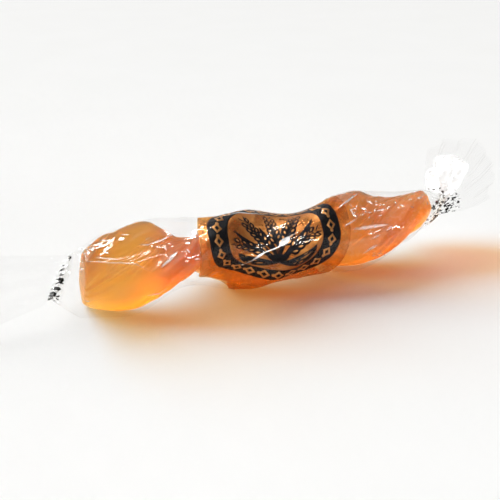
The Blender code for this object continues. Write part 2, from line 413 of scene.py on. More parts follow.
def end_slope(along, length):
    """How much a section leans along the stick for each metre of height."""
    left = LEFT_CUT_SLOPE * (1.0 - ramp(along, 0.0, LEFT_CUT_LENGTH))
    right = TIP_SLOPE * ramp(along, length - TIP_SLOPE_LENGTH, length)
    return left + right


def placed(name, data):
    """An object of that data at the origin, linked to the scene."""
    made = bpy.data.objects.new(name, data)
    bpy.context.scene.collection.objects.link(made)
    return made


def new_object(name, vertices, faces, edges=()):
    """A mesh object at the origin."""
    data = bpy.data.meshes.new(name)
    data.from_pydata([tuple(v) for v in vertices], list(edges), faces)
    return placed(name, data)


def points_of(data):
    """The points of a mesh, as rows of x, y and z."""
    points = np.zeros(len(data.vertices) * 3)
    data.vertices.foreach_get("co", points)
    return points.reshape(-1, 3)


def values_of(data, name):
    """The numbers that a mesh keeps for its points under that name."""
    values = np.zeros(len(data.vertices), np.float32)
    data.attributes[name].data.foreach_get("value", values)
    return values.astype(float)


def keep_values(data, name, values):
    """Keep a number for each point of a mesh under that name."""
    data.attributes.new(name, "FLOAT", "POINT").data.foreach_set("value", values)


def volume_inside(data):
    """Signed volume of a closed mesh: positive where its faces point outward."""
    data.calc_loop_triangles()
    corners = np.zeros(len(data.loop_triangles) * 3, np.int32)
    data.loop_triangles.foreach_get("vertices", corners)
    a, b, c = points_of(data)[corners.reshape(-1, 3)].transpose(1, 0, 2)
    return float((a * np.cross(b, c)).sum() / 6.0)


def face_outward(made):
    """Turn the faces of a closed mesh outward."""
    if volume_inside(made.data) < 0.0:
        made.data.flip_normals()
    made.data.shade_smooth()


def as_piece(made, material):
    """Finish a piece: its material, the body it rides on and what it stands for."""
    made.data.materials.clear()
    made.data.materials.append(material)
    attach(made, BODY)
    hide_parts(NODE)


def grown(source, tree, values, name):
    """The plain mesh that a geometry tree makes from an object, which it takes the place of."""
    modifier = source.modifiers.new(tree.name, "NODES")
    modifier.node_group = tree
    for item in tree.interface.items_tree:
        if item.item_type == "SOCKET" and item.in_out == "INPUT" and item.name in values:
            modifier[item.identifier] = values[item.name]
    graph = bpy.context.evaluated_depsgraph_get()
    data = bpy.data.meshes.new_from_object(source.evaluated_get(graph))
    bpy.data.objects.remove(source)
    data.name = name
    return placed(name, data)


def new_tree(name, inputs):
    """A geometry tree with a mesh in, a mesh out and these named inputs; gives their terms."""
    tree = bpy.data.node_groups.new(name, "GeometryNodeTree")
    face = tree.interface
    face.new_socket("Geometry", in_out="OUTPUT", socket_type="NodeSocketGeometry")
    face.new_socket("Geometry", in_out="INPUT", socket_type="NodeSocketGeometry")
    for label, kind in inputs:
        face.new_socket(label, in_out="INPUT", socket_type="NodeSocket" + kind)
    entry = tree.nodes.new("NodeGroupInput")
    terms = {label: Term(tree, entry.outputs[label]) for label, _ in inputs}
    return tree, entry.outputs["Geometry"], terms


def end_tree(tree, geometry, material):
    """Close a tree: instances made real, the material set, and out."""
    real = add(tree, "GeometryNodeRealizeInstances", {"Geometry": geometry})
    painted = add(tree, "GeometryNodeSetMaterial",
                  {"Geometry": real.outputs[0], "Material": material.socket})
    way_out = tree.nodes.new("NodeGroupOutput")
    tree.links.new(painted.outputs[0], way_out.inputs[0])


def attribute(tree, name, kind="FLOAT"):
    """The value of a named attribute."""
    node = add(tree, "GeometryNodeInputNamedAttribute", {"Name": name}, data_type=kind)
    return Term(tree, node.outputs["Attribute"])


# Sugar stick

STICK_INPUTS = (
    ("Sides", "Int"), ("Length", "Float"), ("Width", "Float"), ("Waist Width", "Float"),
    ("Left Thickness", "Float"), ("Right Thickness", "Float"), ("Half Turn", "Float"),
    ("Tilt", "Float"), ("Unevenness", "Float"), ("Pull Line Depth", "Float"), ("Seed", "Float"),
    ("Material", "Material"),
)
# Where the bar is narrowest and how far that reaches, and the stretch over which it thickens
WAIST_AT = 36.0 * MM
WAIST_REACH = 14.0 * MM
THICKENS_FROM = 30.0 * MM
THICKENS_TO = 68.0 * MM
# How square the section's corners are, and how far its flat faces bulge
CORNER_POWER = 3.6
FACE_CROWN = 0.24
# Where the bar stands at its tilt, and how much less it turns over its first stretch
WIDE_AT = 10.7 * MM
SLOW_START_TURN = math.radians(16.5)
SLOW_START_LENGTH = 14.0 * MM
# How far the blunt end is rounded in, and how the tip narrows across and then closes through
LEFT_ROUNDING = 1.0 * MM
LEFT_ROUND_SHARE = 0.07
TIP_LENGTH = 16.0 * MM
TIP_WIDTH_SHARE = 0.30
TIP_NOSE_LENGTH = 4.0 * MM
TIP_NOSE_SHARE = 0.45
# Noise of the dents and of the pull lines: scales, and the levels that make a dent or a line
DENT_SCALE = 150.0
DENT_FROM = 0.35
DENT_TO = 0.75
PULL_LINES = 1.9
PULL_LINE_STRETCH = 22.0
PULL_LINE_WIDTH = 0.22
PULL_LINE_SEED = 7.0


def stick_tree():
    """The geometry tree that sweeps the twisted section along the centre line."""
    tree, line, given = new_tree("twisted_stick", STICK_INPUTS)
    rail = add(tree, "GeometryNodeMeshToCurve", {"Mesh": line})
    ring = add(tree, "GeometryNodeCurvePrimitiveCircle", {"Resolution": given["Sides"]})
    place = Term(tree, add(tree, "GeometryNodeInputIndex").outputs[0])
    marked = add(tree, "GeometryNodeStoreNamedAttribute", {
        "Geometry": ring.outputs[0], "Name": "round", "Value": place * TURN / given["Sides"]})
    swept = add(tree, "GeometryNodeCurveToMesh",
                {"Curve": rail.outputs[0], "Profile Curve": marked.outputs[0], "Fill Caps": True})
    along = attribute(tree, "along")
    held = (SLOW_START_TURN * (WIDE_AT / SLOW_START_LENGTH) ** 2
            * (3.0 - 2.0 * WIDE_AT / SLOW_START_LENGTH)
            - along.ramp(0.0, SLOW_START_LENGTH) * SLOW_START_TURN)
    direction = given["Tilt"] - (along - WIDE_AT) * math.pi / given["Half Turn"] - held
    left = 1.0 - (along / LEFT_ROUNDING).held(0.0, 1.0)
    left = 1.0 - LEFT_ROUND_SHARE * (1.0 - (1.0 - left * left) ** 0.5)
    tip = 1.0 - ((given["Length"] - along) / TIP_LENGTH).held(0.0, 1.0)
    tip = TIP_WIDTH_SHARE + (1.0 - TIP_WIDTH_SHARE) * (1.0 - tip * tip) ** 0.5
    nose = 1.0 - ((given["Length"] - along) / TIP_NOSE_LENGTH).held(0.0, 1.0)
    nose = TIP_NOSE_SHARE + (1.0 - TIP_NOSE_SHARE) * (1.0 - nose * nose) ** 0.5
    waist = 1.0 - abs(along - WAIST_AT).ramp(0.0, WAIST_REACH)
    width = given["Width"] + (given["Waist Width"] - given["Width"]) * waist
    gain = given["Right Thickness"] - given["Left Thickness"]
    thicker = gain * along.ramp(THICKENS_FROM, THICKENS_TO)
    turned = attribute(tree, "round")
    across = abs(turned.cos()) / (width * 0.5 * left * tip)
    through = abs(turned.sin()) / ((given["Left Thickness"] + thicker) * 0.5 * left * nose)
    through = through / (1.0 - FACE_CROWN * across / (across + through))
    reach = (across ** CORNER_POWER + through ** CORNER_POWER) ** (-1.0 / CORNER_POWER)
    angle = turned + direction
    skin = add(tree, "ShaderNodeCombineXYZ",
               {"X": along, "Y": angle.cos() * reach, "Z": angle.sin() * reach})
    dents = add(tree, "ShaderNodeTexNoise",
                {"Vector": skin.outputs[0], "W": given["Seed"], "Scale": DENT_SCALE, "Detail": 2.0},
                noise_dimensions="4D")
    reach = reach - given["Unevenness"] * Term(tree, dents.outputs[0]).ramp(DENT_FROM, DENT_TO)
    section = add(tree, "ShaderNodeCombineXYZ",
                  {"X": along * PULL_LINE_STRETCH, "Y": turned.cos(), "Z": turned.sin()})
    lines = add(tree, "ShaderNodeTexNoise",
                {"Vector": section.outputs[0], "W": given["Seed"] + PULL_LINE_SEED,
                 "Scale": PULL_LINES, "Detail": 1.0},
                noise_dimensions="4D")
    sharp = abs(Term(tree, lines.outputs[0]) * 2.0 - 1.0).ramp(0.0, PULL_LINE_WIDTH)
    reach = reach - given["Pull Line Depth"] * (1.0 - sharp) * tip * nose
    reach = reach * attribute(tree, "swell")
    up = reach * angle.sin()
    centre = add(tree, "ShaderNodeSeparateXYZ",
                 {"Vector": attribute(tree, "centre", "FLOAT_VECTOR")})
    spot = add(tree, "ShaderNodeCombineXYZ", {
        "X": up * attribute(tree, "lean") + centre.outputs["X"],
        "Y": reach * angle.cos() + centre.outputs["Y"],
        "Z": up + centre.outputs["Z"]})
    solid = swept.outputs[0]
    for name, value in (("reach", reach), ("angle", angle)):
        kept = add(tree, "GeometryNodeStoreNamedAttribute",
                   {"Geometry": solid, "Name": name, "Value": value})
        solid = kept.outputs[0]
    shaped = add(tree, "GeometryNodeSetPosition", {"Geometry": solid, "Position": spot.outputs[0]})
    end_tree(tree, shaped.outputs[0], given["Material"])
    return tree


def centre_line(stick):
    """The stick's centre line as a mesh of edges, with what each section needs as attributes."""
    along = np.linspace(0.0, stick.length, STICK_ROWS)
    shares = np.array(CAP_SHARES)
    bulge = 1.0 - shares ** 2
    places = np.concatenate([np.zeros(len(shares)), along, np.full(len(shares), stick.length)])
    swell = np.concatenate([shares, np.ones(STICK_ROWS), shares[::-1]])
    push = np.concatenate([-LEFT_BULGE * bulge, np.zeros(STICK_ROWS), TIP_BULGE * bulge[::-1]])
    push = push + LEFT_START * (1.0 - ramp(places, 0.0, LEFT_CUT_LENGTH))
    x = places - stick.length / 2 + STICK_MIDDLE.x + push
    points = np.stack([x, np.full(len(x), STICK_MIDDLE.y), centre_height(places)], axis=-1)
    line = new_object("centre_line", points, [], [(i, i + 1) for i in range(len(points) - 1)])
    leans = end_slope(places, stick.length)
    for name, values in (("along", places), ("swell", swell), ("lean", leans)):
        keep_values(line.data, name, values)
    centre = line.data.attributes.new("centre", "FLOAT_VECTOR", "POINT")
    centre.data.foreach_set("vector", points.ravel())
    return line


# Film round the stick

# Share of the full section above which a ring of the stick isn't one of its closing rings
WHOLE_SECTION = 0.999
# How far past the stick's ends the film's curve is followed, and how sharply the slack gathers on
# the underside
END_REACH = 24.0 * MM
SAG_POWER = 3
# Where the film is gathered, how far the gather leans along the stick, and half its height
LEFT_GATHER = (-42.7 * MM, 0.0, 9.8 * MM)
LEFT_LEAN = 0.55
LEFT_HALF = 4.8 * MM
RIGHT_GATHER = (44.4 * MM, 0.0, 10.4 * MM)
RIGHT_LEAN = 0.29
RIGHT_HALF = 3.1 * MM
# The gather's pleats, the pleats of the film drawn in to it, and how far they reach back
GATHER_THICKNESS = 1.5 * MM
GATHER_PLEATS = 16
GATHER_CRIMP = 0.55
CONE_PLEATS = 23
CONE_PLEAT_WANDER = 1.3
CONE_PLEAT_DEPTH = 0.28 * MM
CONE_PLEAT_FADE = 0.7
PLEAT_REACH = 9.0 * MM
RIM_PLEAT_SHARE = 0.35
# Air under the film where it lies on the table
FLOOR_GAP = 0.02 * MM
# Fine facets of the film: their size and its spread, and the number of waves that make them
CREASE_SIZE = 5.0 * MM
FACET_SPREAD = (0.6, 1.7)
FACET_WAVES = 7
# Folds scattered over the film: their number, their slant in degrees and its spread, and their
# lengths, heights and half widths in mm
STRAY_FOLDS = 46
STRAY_SLANT = (-42.0, 22.0)
STRAY_LENGTH = (3.0, 11.0)
STRAY_HEIGHT = (0.08, 0.22)
STRAY_HALF = (0.35, 0.8)
# The sleeve's looks, by how near a row is to its gather: 0 at the stick's end, 1 at the gather
TIED_FROM = 0.82
TIED_WAVER = 0.10
TIED_FADE = 0.12
CONE_DULLS = 0.6
CONE_DULLS_BY = 0.3
CONE_BUNCHED = 0.4
CONE_BUNCHED_FROM = 0.6
# Where the film over the print is dulled, as shares of half the band's length
PRINT_FADE = (0.95, 1.1)
PRINT_DULLS = 0.7
# Where the film over the loose first turns is dulled
SLACK_TO = 20.0 * MM
SLACK_FADE = 4.0 * MM
SLACK_DULLS = 0.65
# A tail's looks: length of its tied root, and shares of that length or of the tail's
TIED_LENGTH = 1.5 * MM
TIED_MIDDLE = 0.62
TIED_LEAN = 0.38
TIED_SOLID = 0.5
TIED_BUNCHED = 0.6
PUFF_BUNCHED_AT = 0.5
# Specks of painted dark reflection round the puff's root: their strength, and the shares of the
# tail where they start and end
DARK_REFLECTIONS = 0.55
DARK_REFLECTIONS_START = (0.03, 0.08)
DARK_REFLECTIONS_END = (0.20, 0.34)


def bridged(along, radius, bow):
    """Film pulled over the crests of radius, hanging between them on a curve of radius bow."""
    step = along[1] - along[0]
    past = np.arange(1, int(END_REACH / step)) * step
    reach = np.concatenate([along[0] - past[::-1], along, along[-1] + past])
    drop = (reach[:, None] - along[None, :]) ** 2 / (2.0 * bow)
    rows = []
    for column in radius.T:
        outside = (column[None, :] - drop).max(axis=1)
        rows.append((outside[:, None] + drop).min(axis=0))
    return np.array(rows).T


def zigzag(phase):
    """A straight-sided wave between -1 and 1."""
    return np.arcsin(np.sin(phase)) * 2.0 / math.pi


def crumpled(points, seed, size):
    """Flat facets with sharp creases, between about -1 and 1, over points in space."""
    draw = np.random.default_rng(seed)
    total = np.zeros(points.shape[:-1])
    for _ in range(FACET_WAVES):
        direction = draw.normal(size=3)
        direction /= np.linalg.norm(direction)
        pitch = size * draw.uniform(*FACET_SPREAD)
        total += zigzag(points @ direction * math.pi / pitch + draw.uniform(0.0, TURN))
    return total / math.sqrt(FACET_WAVES)


def fold(along, arc, corners, height, half_width, rounded=0.0):
    """A fold that stands up along the line through its corners and fades out at both ends."""
    lifted = np.zeros(np.broadcast(along, arc).shape)
    corners = np.array(corners)
    lengths = np.linalg.norm(np.diff(corners, axis=0), axis=1)
    whole = lengths.sum()
    before = 0.0
    for start, end, length in zip(corners, corners[1:], lengths):
        run = (end - start) / length
        x = along - start[0]
        y = arc - start[1]
        way = np.clip(x * run[0] + y * run[1], 0.0, length)
        away = np.hypot(x - way * run[0], y - way * run[1])
        fade = np.sin(np.clip((before + way) / whole, 0.0, 1.0) * math.pi) ** 0.5
        rise = np.clip(1.0 - away / half_width, 0.0, 1.0)
        rise = rise + rounded * (ramp(rise, 0.0, 1.0) - rise)
        lifted = np.maximum(lifted, height * fade * rise)
        before += length
    return lifted


def stray_folds(length, around, seed):
    """Folds scattered over the film, most of them along the grooves of the twist."""
    draw = np.random.default_rng(seed)
    folds = []
    for _ in range(STRAY_FOLDS):
        start = np.array([draw.uniform(0.0, length), draw.uniform(0.0, around)])
        slant = math.radians(draw.normal(*STRAY_SLANT))
        reach = draw.uniform(*STRAY_LENGTH) * MM
        end = start + reach * np.array([math.cos(slant), math.sin(slant)])
        height = draw.uniform(*STRAY_HEIGHT) * MM
        folds.append(((start, end), height, draw.uniform(*STRAY_HALF) * MM))
    return folds


# The two tails. Rise, spread and roll are angles; depth is a share of the pleat depth, puff is how
# far the tail is puffed up, and gloss how much it shines
TAILS = (
    {"name": "left_tail", "centre": LEFT_GATHER, "lean": LEFT_LEAN, "half": LEFT_HALF,
     "rise": math.radians(182.0), "spread": math.radians(9.0), "roll": math.radians(28.0),
     "pleats": 3.5, "depth": 0.55, "puff": 0.0, "crumple": 0.15 * MM, "gloss": 0.25},
    {"name": "right_tail", "centre": RIGHT_GATHER, "lean": RIGHT_LEAN, "half": RIGHT_HALF,
     "rise": math.radians(55.0), "spread": math.radians(54.0), "roll": math.radians(-14.0),
     "pleats": 6.5, "depth": 0.6, "puff": 2.2 * MM, "crumple": 0.28 * MM, "gloss": 0.15},
)
# Middle and half size of the puff, as shares of the tail's length and of its half width
PUFF_AT = 0.36
PUFF_REACH = 0.38
PUFF_ACROSS = 0.5
PUFF_HALF = 0.58
# Crumple of the puff, thickness of the open end, how unlike its two layers are, and facet size
BUNCH_CRUMPLE = 0.60 * MM
BUNCH_SIZE = 1.5 * MM
OPEN_THICKNESS = 0.8 * MM
LAYERS_DIFFER = 3.0 * MM
TAIL_CREASE_SIZE = 3.2 * MM
# Shares of the tail's length over which its pleats deepen, its layers close and its root lets go
PLEATS_DEEPEN = 0.8
LAYERS_CLOSE = 0.25
ROOT_LETS_GO = 0.3
ROOT_PLEAT_SHARE = 0.25
# A soft ripple and finer pleats on a tail's pleats: share of their depth, number for each of them
# and where they start; then the same for the waver of the cut edge, and one layer's extra length
RIPPLE_SHARE = 0.35
RIPPLE_RATE = 1.7
RIPPLE_START = 1.0
FINE_SHARE = 0.3
FINE_RATE = 2.6
FINE_START = 0.8
CUT_SHARE = 0.03
CUT_RATE = 9.0
CUT_START = 0.5
LAYER_LONGER = 0.02


def gather_ring(angles, centre, lean, half):
    """The flattened, pleated ring where the film is gathered."""
    up = half * np.sin(angles)
    crimp = 1.0 + GATHER_CRIMP * zigzag(GATHER_PLEATS * angles)
    side = GATHER_THICKNESS / 2 * np.cos(angles) * crimp
    return np.array(centre) + np.stack([lean * up, side, up], axis=-1)


def film_grid(sugar, stick, film):
    """Points of the film from the left gather over the stick to the right gather."""
    whole = values_of(sugar.data, "swell") > WHOLE_SECTION
    radius = values_of(sugar.data, "reach")[whole].reshape(STICK_ROWS, STICK_SIDES)
    turned = values_of(sugar.data, "angle")[whole].reshape(STICK_ROWS, STICK_SIDES)
    rows = np.linspace(0.0, stick.length, STICK_ROWS)
    angles = FILM_ANGLES
    sugar_radius = np.array([np.interp(angles, a, r, period=TURN) for a, r in zip(turned, radius)])
    along = np.linspace(0.0, stick.length, FILM_ROWS)
    sugar_radius = np.array([np.interp(along, rows, column) for column in sugar_radius.T]).T
    taut = bridged(along, sugar_radius, film.taut_radius)
    slack = bridged(along, sugar_radius, film.slack_radius)
    groove = np.interp(along, rows, np.unwrap(turned[:, 0])) + math.pi / 2
    share = 0.5 + 0.5 * np.cos(angles[None, :] - groove[:, None])
    form = slack + (taut - slack) * share
    under = np.clip(-np.sin(angles), 0.0, 1.0) ** SAG_POWER
    form = form + film.gap + film.sag * under[None, :]
    form = form + wrinkles(along, angles, form, stick, film)
    up = form * np.sin(angles)[None, :]
    x = (along - stick.length / 2)[:, None] + end_slope(along, stick.length)[:, None] * up
    z = centre_height(along)[:, None] + up
    body = np.stack([x, form * np.cos(angles)[None, :], z], axis=-1)
    left = cone(body[0], gather_ring(angles, LEFT_GATHER, LEFT_LEAN, LEFT_HALF), angles)
    right = cone(body[-1], gather_ring(angles, RIGHT_GATHER, RIGHT_LEAN, RIGHT_HALF), angles)
    grid = np.concatenate([left[::-1], body, right]) + np.array(STICK_MIDDLE)
    grid[:, :, 2] = np.maximum(grid[:, :, 2], FLOOR_GAP)
    return grid


def wrinkles(along, angles, form, stick, film):
    """Folds, fine facets and pleats of the film over the stick, as height above its form."""
    mean = float(form.mean())
    place = np.broadcast_to(along[:, None], form.shape)
    arc = np.broadcast_to(angles[None, :] * mean, form.shape)
    height = np.zeros(form.shape)
    for corners, tall, half, rounded in FOLDS:
        path = [(s * MM, math.radians(a) * mean) for s, a in corners]
        height = np.maximum(height, fold(place, arc, path, tall * MM, half * MM, rounded))
    around = TURN * mean
    for corners, tall, half in stray_folds(stick.length, around, film.seed):
        for shift in (-around, 0.0, around):
            height = np.maximum(height, fold(place, arc + shift, corners, tall, half))
    points = np.stack([place, form * np.cos(angles), form * np.sin(angles)], axis=-1)
    facets = crumpled(points, film.seed + 1, CREASE_SIZE)
    pleats = cone_pleats(angles)[None, :]
    near_end = 1.0 - ramp(np.minimum(along, stick.length - along), 0.0, PLEAT_REACH)
    pleated = near_end[:, None] ** 2 * CONE_PLEAT_DEPTH * RIM_PLEAT_SHARE * (1.0 + pleats)
    return height + film.crumple * (1.0 + facets) * 0.5 + pleated


def cone_pleats(angles):
    """The pleats round the film where it is drawn in, between -1 and 1."""
    return zigzag(CONE_PLEATS * angles + CONE_PLEAT_WANDER * np.sin(2.0 * angles))


def cone(rim, ring, angles):
    """Film drawn from the rim of the stick's end to its gather, with pleats that deepen."""
    rows = []
    outward = np.stack([np.zeros(len(angles)), np.cos(angles), np.sin(angles)], axis=-1)
    pleats = cone_pleats(angles)
    for share in np.linspace(0.0, 1.0, CONE_ROWS + 1)[1:]:
        deep = math.sin(share * math.pi) ** CONE_PLEAT_FADE if share < 1.0 else 0.0
        depth = CONE_PLEAT_DEPTH * deep
        rows.append(rim + (ring - rim) * share + outward * (depth * pleats)[:, None])
    return np.array(rows)


def puffed(share, across):
    """How much a tail is puffed up at a place: 1 in the middle of the puff, 0 outside it."""
    away = ((share - PUFF_AT) / PUFF_REACH) ** 2 + ((across - PUFF_ACROSS) / PUFF_HALF) ** 2
    return np.clip(1.0 - away, 0.0, 1.0) ** 0.5


def tail_grid(tail, angles, film):
    """Points of a pleated fan of two layers of film beyond a gather, from its root outward."""
    across = np.sin(angles)
    layer = np.cos(angles)
    centre = np.array(tail["centre"])
    side_dir = np.array([0.0, 1.0, 0.0])
    along_dir = np.array([math.cos(tail["rise"]), 0.0, math.sin(tail["rise"])])
    upright = np.array([-math.sin(tail["rise"]), 0.0, math.cos(tail["rise"])])
    if upright[2] < 0:
        upright = -upright
    root_radius = tail["half"] / math.sin(tail["spread"])
    root = gather_ring(angles, centre, tail["lean"], tail["half"])
    count = tail["pleats"]
    ripple = np.sin(RIPPLE_RATE * count * across + RIPPLE_START)
    pleat = zigzag(count * math.pi * across) + RIPPLE_SHARE * ripple
    fine = zigzag(count * FINE_RATE * math.pi * across + FINE_START)
    cut = 1.0 + CUT_SHARE * zigzag(CUT_RATE * across + CUT_START) + LAYER_LONGER * layer
    rows = [root]
    for share in np.linspace(0.0, 1.0, TAIL_ROWS)[1:]:
        roll = tail["roll"] * share
        width_dir = upright * math.cos(roll) + side_dir * math.sin(roll)
        face_dir = side_dir * math.cos(roll) - upright * math.sin(roll)
        radius = root_radius + film.tail_length * share * cut
        outward = radius * np.cos(tail["spread"] * across) - root_radius * math.cos(tail["spread"])
        sideways = radius * np.sin(tail["spread"] * across)
        deeper = (1.0 - ROOT_PLEAT_SHARE) * float(ramp(share, 0.0, PLEATS_DEEPEN))
        depth = tail["depth"] * film.pleat_depth * (ROOT_PLEAT_SHARE + deeper)
        closing = float(ramp(share, 0.0, LAYERS_CLOSE))
        thick = GATHER_THICKNESS + (OPEN_THICKNESS - GATHER_THICKNESS) * closing
        puff = puffed(share, across) * (1.0 if tail["puff"] else 0.0)
        pleated = depth * (pleat + FINE_SHARE * fine * share ** 0.5)
        lift = pleated + (thick / 2 + tail["puff"] * puff) * layer
        fan = (centre + outward[:, None] * along_dir
               + sideways[:, None] * width_dir + lift[:, None] * face_dir)
        apart = fan + layer[:, None] * LAYERS_DIFFER
        growing = tail["crumple"] * min(1.0, share / LAYERS_CLOSE)
        facets = crumpled(apart, film.seed + 2, TAIL_CREASE_SIZE) * growing
        bunched = crumpled(apart, film.seed + 3, BUNCH_SIZE) * BUNCH_CRUMPLE * puff
        pushed = crumpled(apart, film.seed + 4, BUNCH_SIZE) * BUNCH_CRUMPLE * puff
        fan = fan + (facets + bunched)[:, None] * face_dir + pushed[:, None] * along_dir
        rooted = 1.0 - float(ramp(share, 0.0, ROOT_LETS_GO))
        straight = root + share * film.tail_length * along_dir
        rows.append(fan * (1.0 - rooted) + straight * rooted)
    return np.array(rows) + np.array(STICK_MIDDLE)


def outward_normals(grid):
    """Unit normals of a closed grid of the film, pointing away from its middle."""
    beside = (np.roll(grid, -1, axis=1) - np.roll(grid, 1, axis=1)) / 2
    normals = np.cross(beside, np.gradient(grid, axis=0))
    normals = normals / (np.linalg.norm(normals, axis=-1, keepdims=True) + 1e-12)
    middle = grid.mean(axis=1, keepdims=True)
    if ((grid - middle) * normals).sum() < 0.0:
        normals = -normals
    return normals


def slab_faces(rows, columns, closed):
    """Faces of a sheet between two grids of points, the second right after the first."""
    under = rows * columns
    last = columns if closed else columns - 1
    faces = []
    for row in range(rows - 1):
        for column in range(last):
            after = (column + 1) % columns
            a, b = row * columns + column, row * columns + after
            c, d = b + columns, a + columns
            faces.append((a, b, c, d))
            faces.append((d + under, c + under, b + under, a + under))
    for column in range(last):
        after = (column + 1) % columns
        for row, turn in ((0, False), (rows - 1, True)):
            a, b = row * columns + column, row * columns + after
            strip = (b, a, a + under, b + under)
            faces.append(strip[::-1] if turn else strip)
    if not closed:
        for row in range(rows - 1):
            for column, turn in ((0, False), (columns - 1, True)):
                a, b = row * columns + column, (row + 1) * columns + column
                strip = (a, b, b + under, a + under)
                faces.append(strip[::-1] if turn else strip)
    return faces


def film_sheet(name, grid, thickness, bunched, tied, gloss):
    """A piece of film: a tube with a real wall, open at both ends; the last three are its looks."""
    inner = grid - outward_normals(grid) * thickness
    points = np.concatenate([grid.reshape(-1, 3), inner.reshape(-1, 3)])
    made = new_object(name, points, slab_faces(*grid.shape[:2], True))
    face_outward(made)
    for label, values in (("bunched", bunched), ("tied", tied), ("gloss", gloss)):
        values = np.broadcast_to(values, grid.shape[:2]).ravel()
        keep_values(made.data, label, np.concatenate([values, values]))
    as_piece(made, material_named("clear_film", clear_film))


def sleeve_looks(rows, scene):
    """How bunched, tied and glossy the film is in each row and column of the sleeve."""
    near = np.zeros(rows)
    near[:CONE_ROWS] = np.linspace(1.0, 0.0, CONE_ROWS)
    near[-CONE_ROWS:] = np.linspace(0.0, 1.0, CONE_ROWS)
    # The tied rows next to each gather carry specks of painted dark reflection
    tied_from = TIED_FROM + TIED_WAVER * np.sin(FILM_ANGLES)[None, :]
    tied = ramp((near[:, None] - tied_from) / TIED_FADE, 0.0, 1.0)
    along = np.zeros(rows)
    along[CONE_ROWS:-CONE_ROWS] = np.linspace(0.0, scene.barley_stick.length, FILM_ROWS)
    reach = scene.barley_print.band_length / 2
    away = abs(along - scene.barley_print.centre_along)
    printed = 1.0 - ramp(away, PRINT_FADE[0] * reach, PRINT_FADE[1] * reach)
    slack = 1.0 - ramp(along, SLACK_TO, SLACK_TO + SLACK_FADE)
    gloss = ((1.0 - CONE_DULLS * ramp(near, 0.0, CONE_DULLS_BY)) * (1.0 - PRINT_DULLS * printed)
             * (1.0 - SLACK_DULLS * slack))
    bunched = CONE_BUNCHED * ramp(near, CONE_BUNCHED_FROM, 1.0)
    return bunched[:, None], tied, gloss[:, None]


def tail_looks(tail, film):
    """How bunched and tied the film is in each row and column of a tail."""
    share = np.linspace(0.0, 1.0, TAIL_ROWS)[:, None]
    across = np.sin(FILM_ANGLES)[None, :]
    reach = TIED_LENGTH * (TIED_MIDDLE - TIED_LEAN * across)
    tied = 1.0 - ramp(share * film.tail_length / reach, TIED_SOLID, 1.0)
    bunched = TIED_BUNCHED * tied
    if tail["puff"]:
        bunched = np.maximum(bunched, ramp(puffed(share, across), 0.0, PUFF_BUNCHED_AT))
        # Specks of painted dark reflection round the puff's root
        dark_reflection_share = ramp(share, *DARK_REFLECTIONS_START) * (1.0 - ramp(share, *DARK_REFLECTIONS_END))
        tied = np.maximum(tied, DARK_REFLECTIONS * dark_reflection_share)
    return bunched, tied


def outer_film():
    """The outer points of the finished film over the stick, as a grid."""
    points = points_of(bpy.data.objects["film_sleeve"].data)
    rows = FILM_ROWS + 2 * CONE_ROWS
    grid = points[:rows * FILM_SIDES].reshape(rows, FILM_SIDES, 3)
    return grid[CONE_ROWS:CONE_ROWS + FILM_ROWS]


def between(grid, row, column):
    """Values of a grid between its points; its columns close on themselves."""
    row = np.clip(row, 0.0, len(grid) - 1.001)
    r = row.astype(int)
    c = np.floor(column).astype(int)
    u = (row - r)[..., None]
    v = (column - c)[..., None]
    c0 = c % grid.shape[1]
    c1 = (c + 1) % grid.shape[1]
    near = grid[r, c0] * (1.0 - v) + grid[r, c1] * v
    far = grid[r + 1, c0] * (1.0 - v) + grid[r + 1, c1] * v
    return near * (1.0 - u) + far * u


# Print on the film

# Radius on which the flat print is rolled up, and the thickness of its ink
PRINT_RADIUS = 7.8 * MM
INK = 0.02 * MM
# How far each layer stands above the film's outside; the print lies just under it
BAND_LIFT = -0.17 * MM
GROUND_LIFT = -0.155 * MM
RING_LIFT = -0.14 * MM
MARK_LIFT = -0.11 * MM
TOP_MARK_LIFT = -0.08 * MM
CREASE_LIFT = 0.01 * MM
# A crease's width is spread by this much, and its strength falls off across it like this
CREASE_SPREAD = 1.3
CREASE_EDGE = np.array([0.0, 0.7, 1.0, 0.7, 0.0])
CREASE_STEP = 0.25 * MM
CREASE_LEAST_ROWS = 8
# Short glints: half length and width in mm, and strength
GLINT_REACH = (0.2, 0.7)
GLINT_WIDTH = (0.14, 0.30)
GLINT_STRENGTH = (0.5, 1.0)
# Narrowest part of a leaf or crease, as a share of its width, and how it narrows to that
POINT_SHARE = 0.04
POINT_TAPER = 0.8
# How square the ring's oval is
OVAL_POWER = 2.4
# How far the band's left and right edges lean along the stick, and the angle they lean toward
BAND_SLANTS = ((2.1 * MM, math.radians(4.0)), (2.4 * MM, math.radians(110.0)))
# How far the left edge draws back on the underside, and the angles where that starts and ends
BAND_TUCK = 6.5 * MM
TUCK_FROM = (math.radians(192.0), math.radians(252.0))
TUCK_TO = (math.radians(300.0), math.radians(330.0))
# Share of the ring's width that its ground reaches under, and the share where its marks lie
GROUND_EDGE = 0.9
MARKS_AT = 0.48
GROUND_SMALLEST = 0.01
RING_MARKS = 24
# Barley ears: root, middle and tip in mm from the print's centre, and the number of grains
EARS = (
    (((0.0, -6.2), (-4.2, -2.0), (-8.4, -0.6)), 9),
    (((0.0, -6.2), (-2.6, 0.4), (-5.4, 4.9)), 11),
    (((0.0, -6.2), (0.2, 0.0), (0.5, 6.4)), 12),
    (((0.0, -6.2), (2.8, 0.4), (5.9, 4.6)), 11),
    (((0.0, -6.2), (4.4, -2.0), (8.6, -0.8)), 9),
)
EAR_SIDES = ("far_left", "left", "middle", "right", "far_right")
EAR_FROM = 0.36
EAR_STEPS = 24
STALK_WIDTH = 0.45
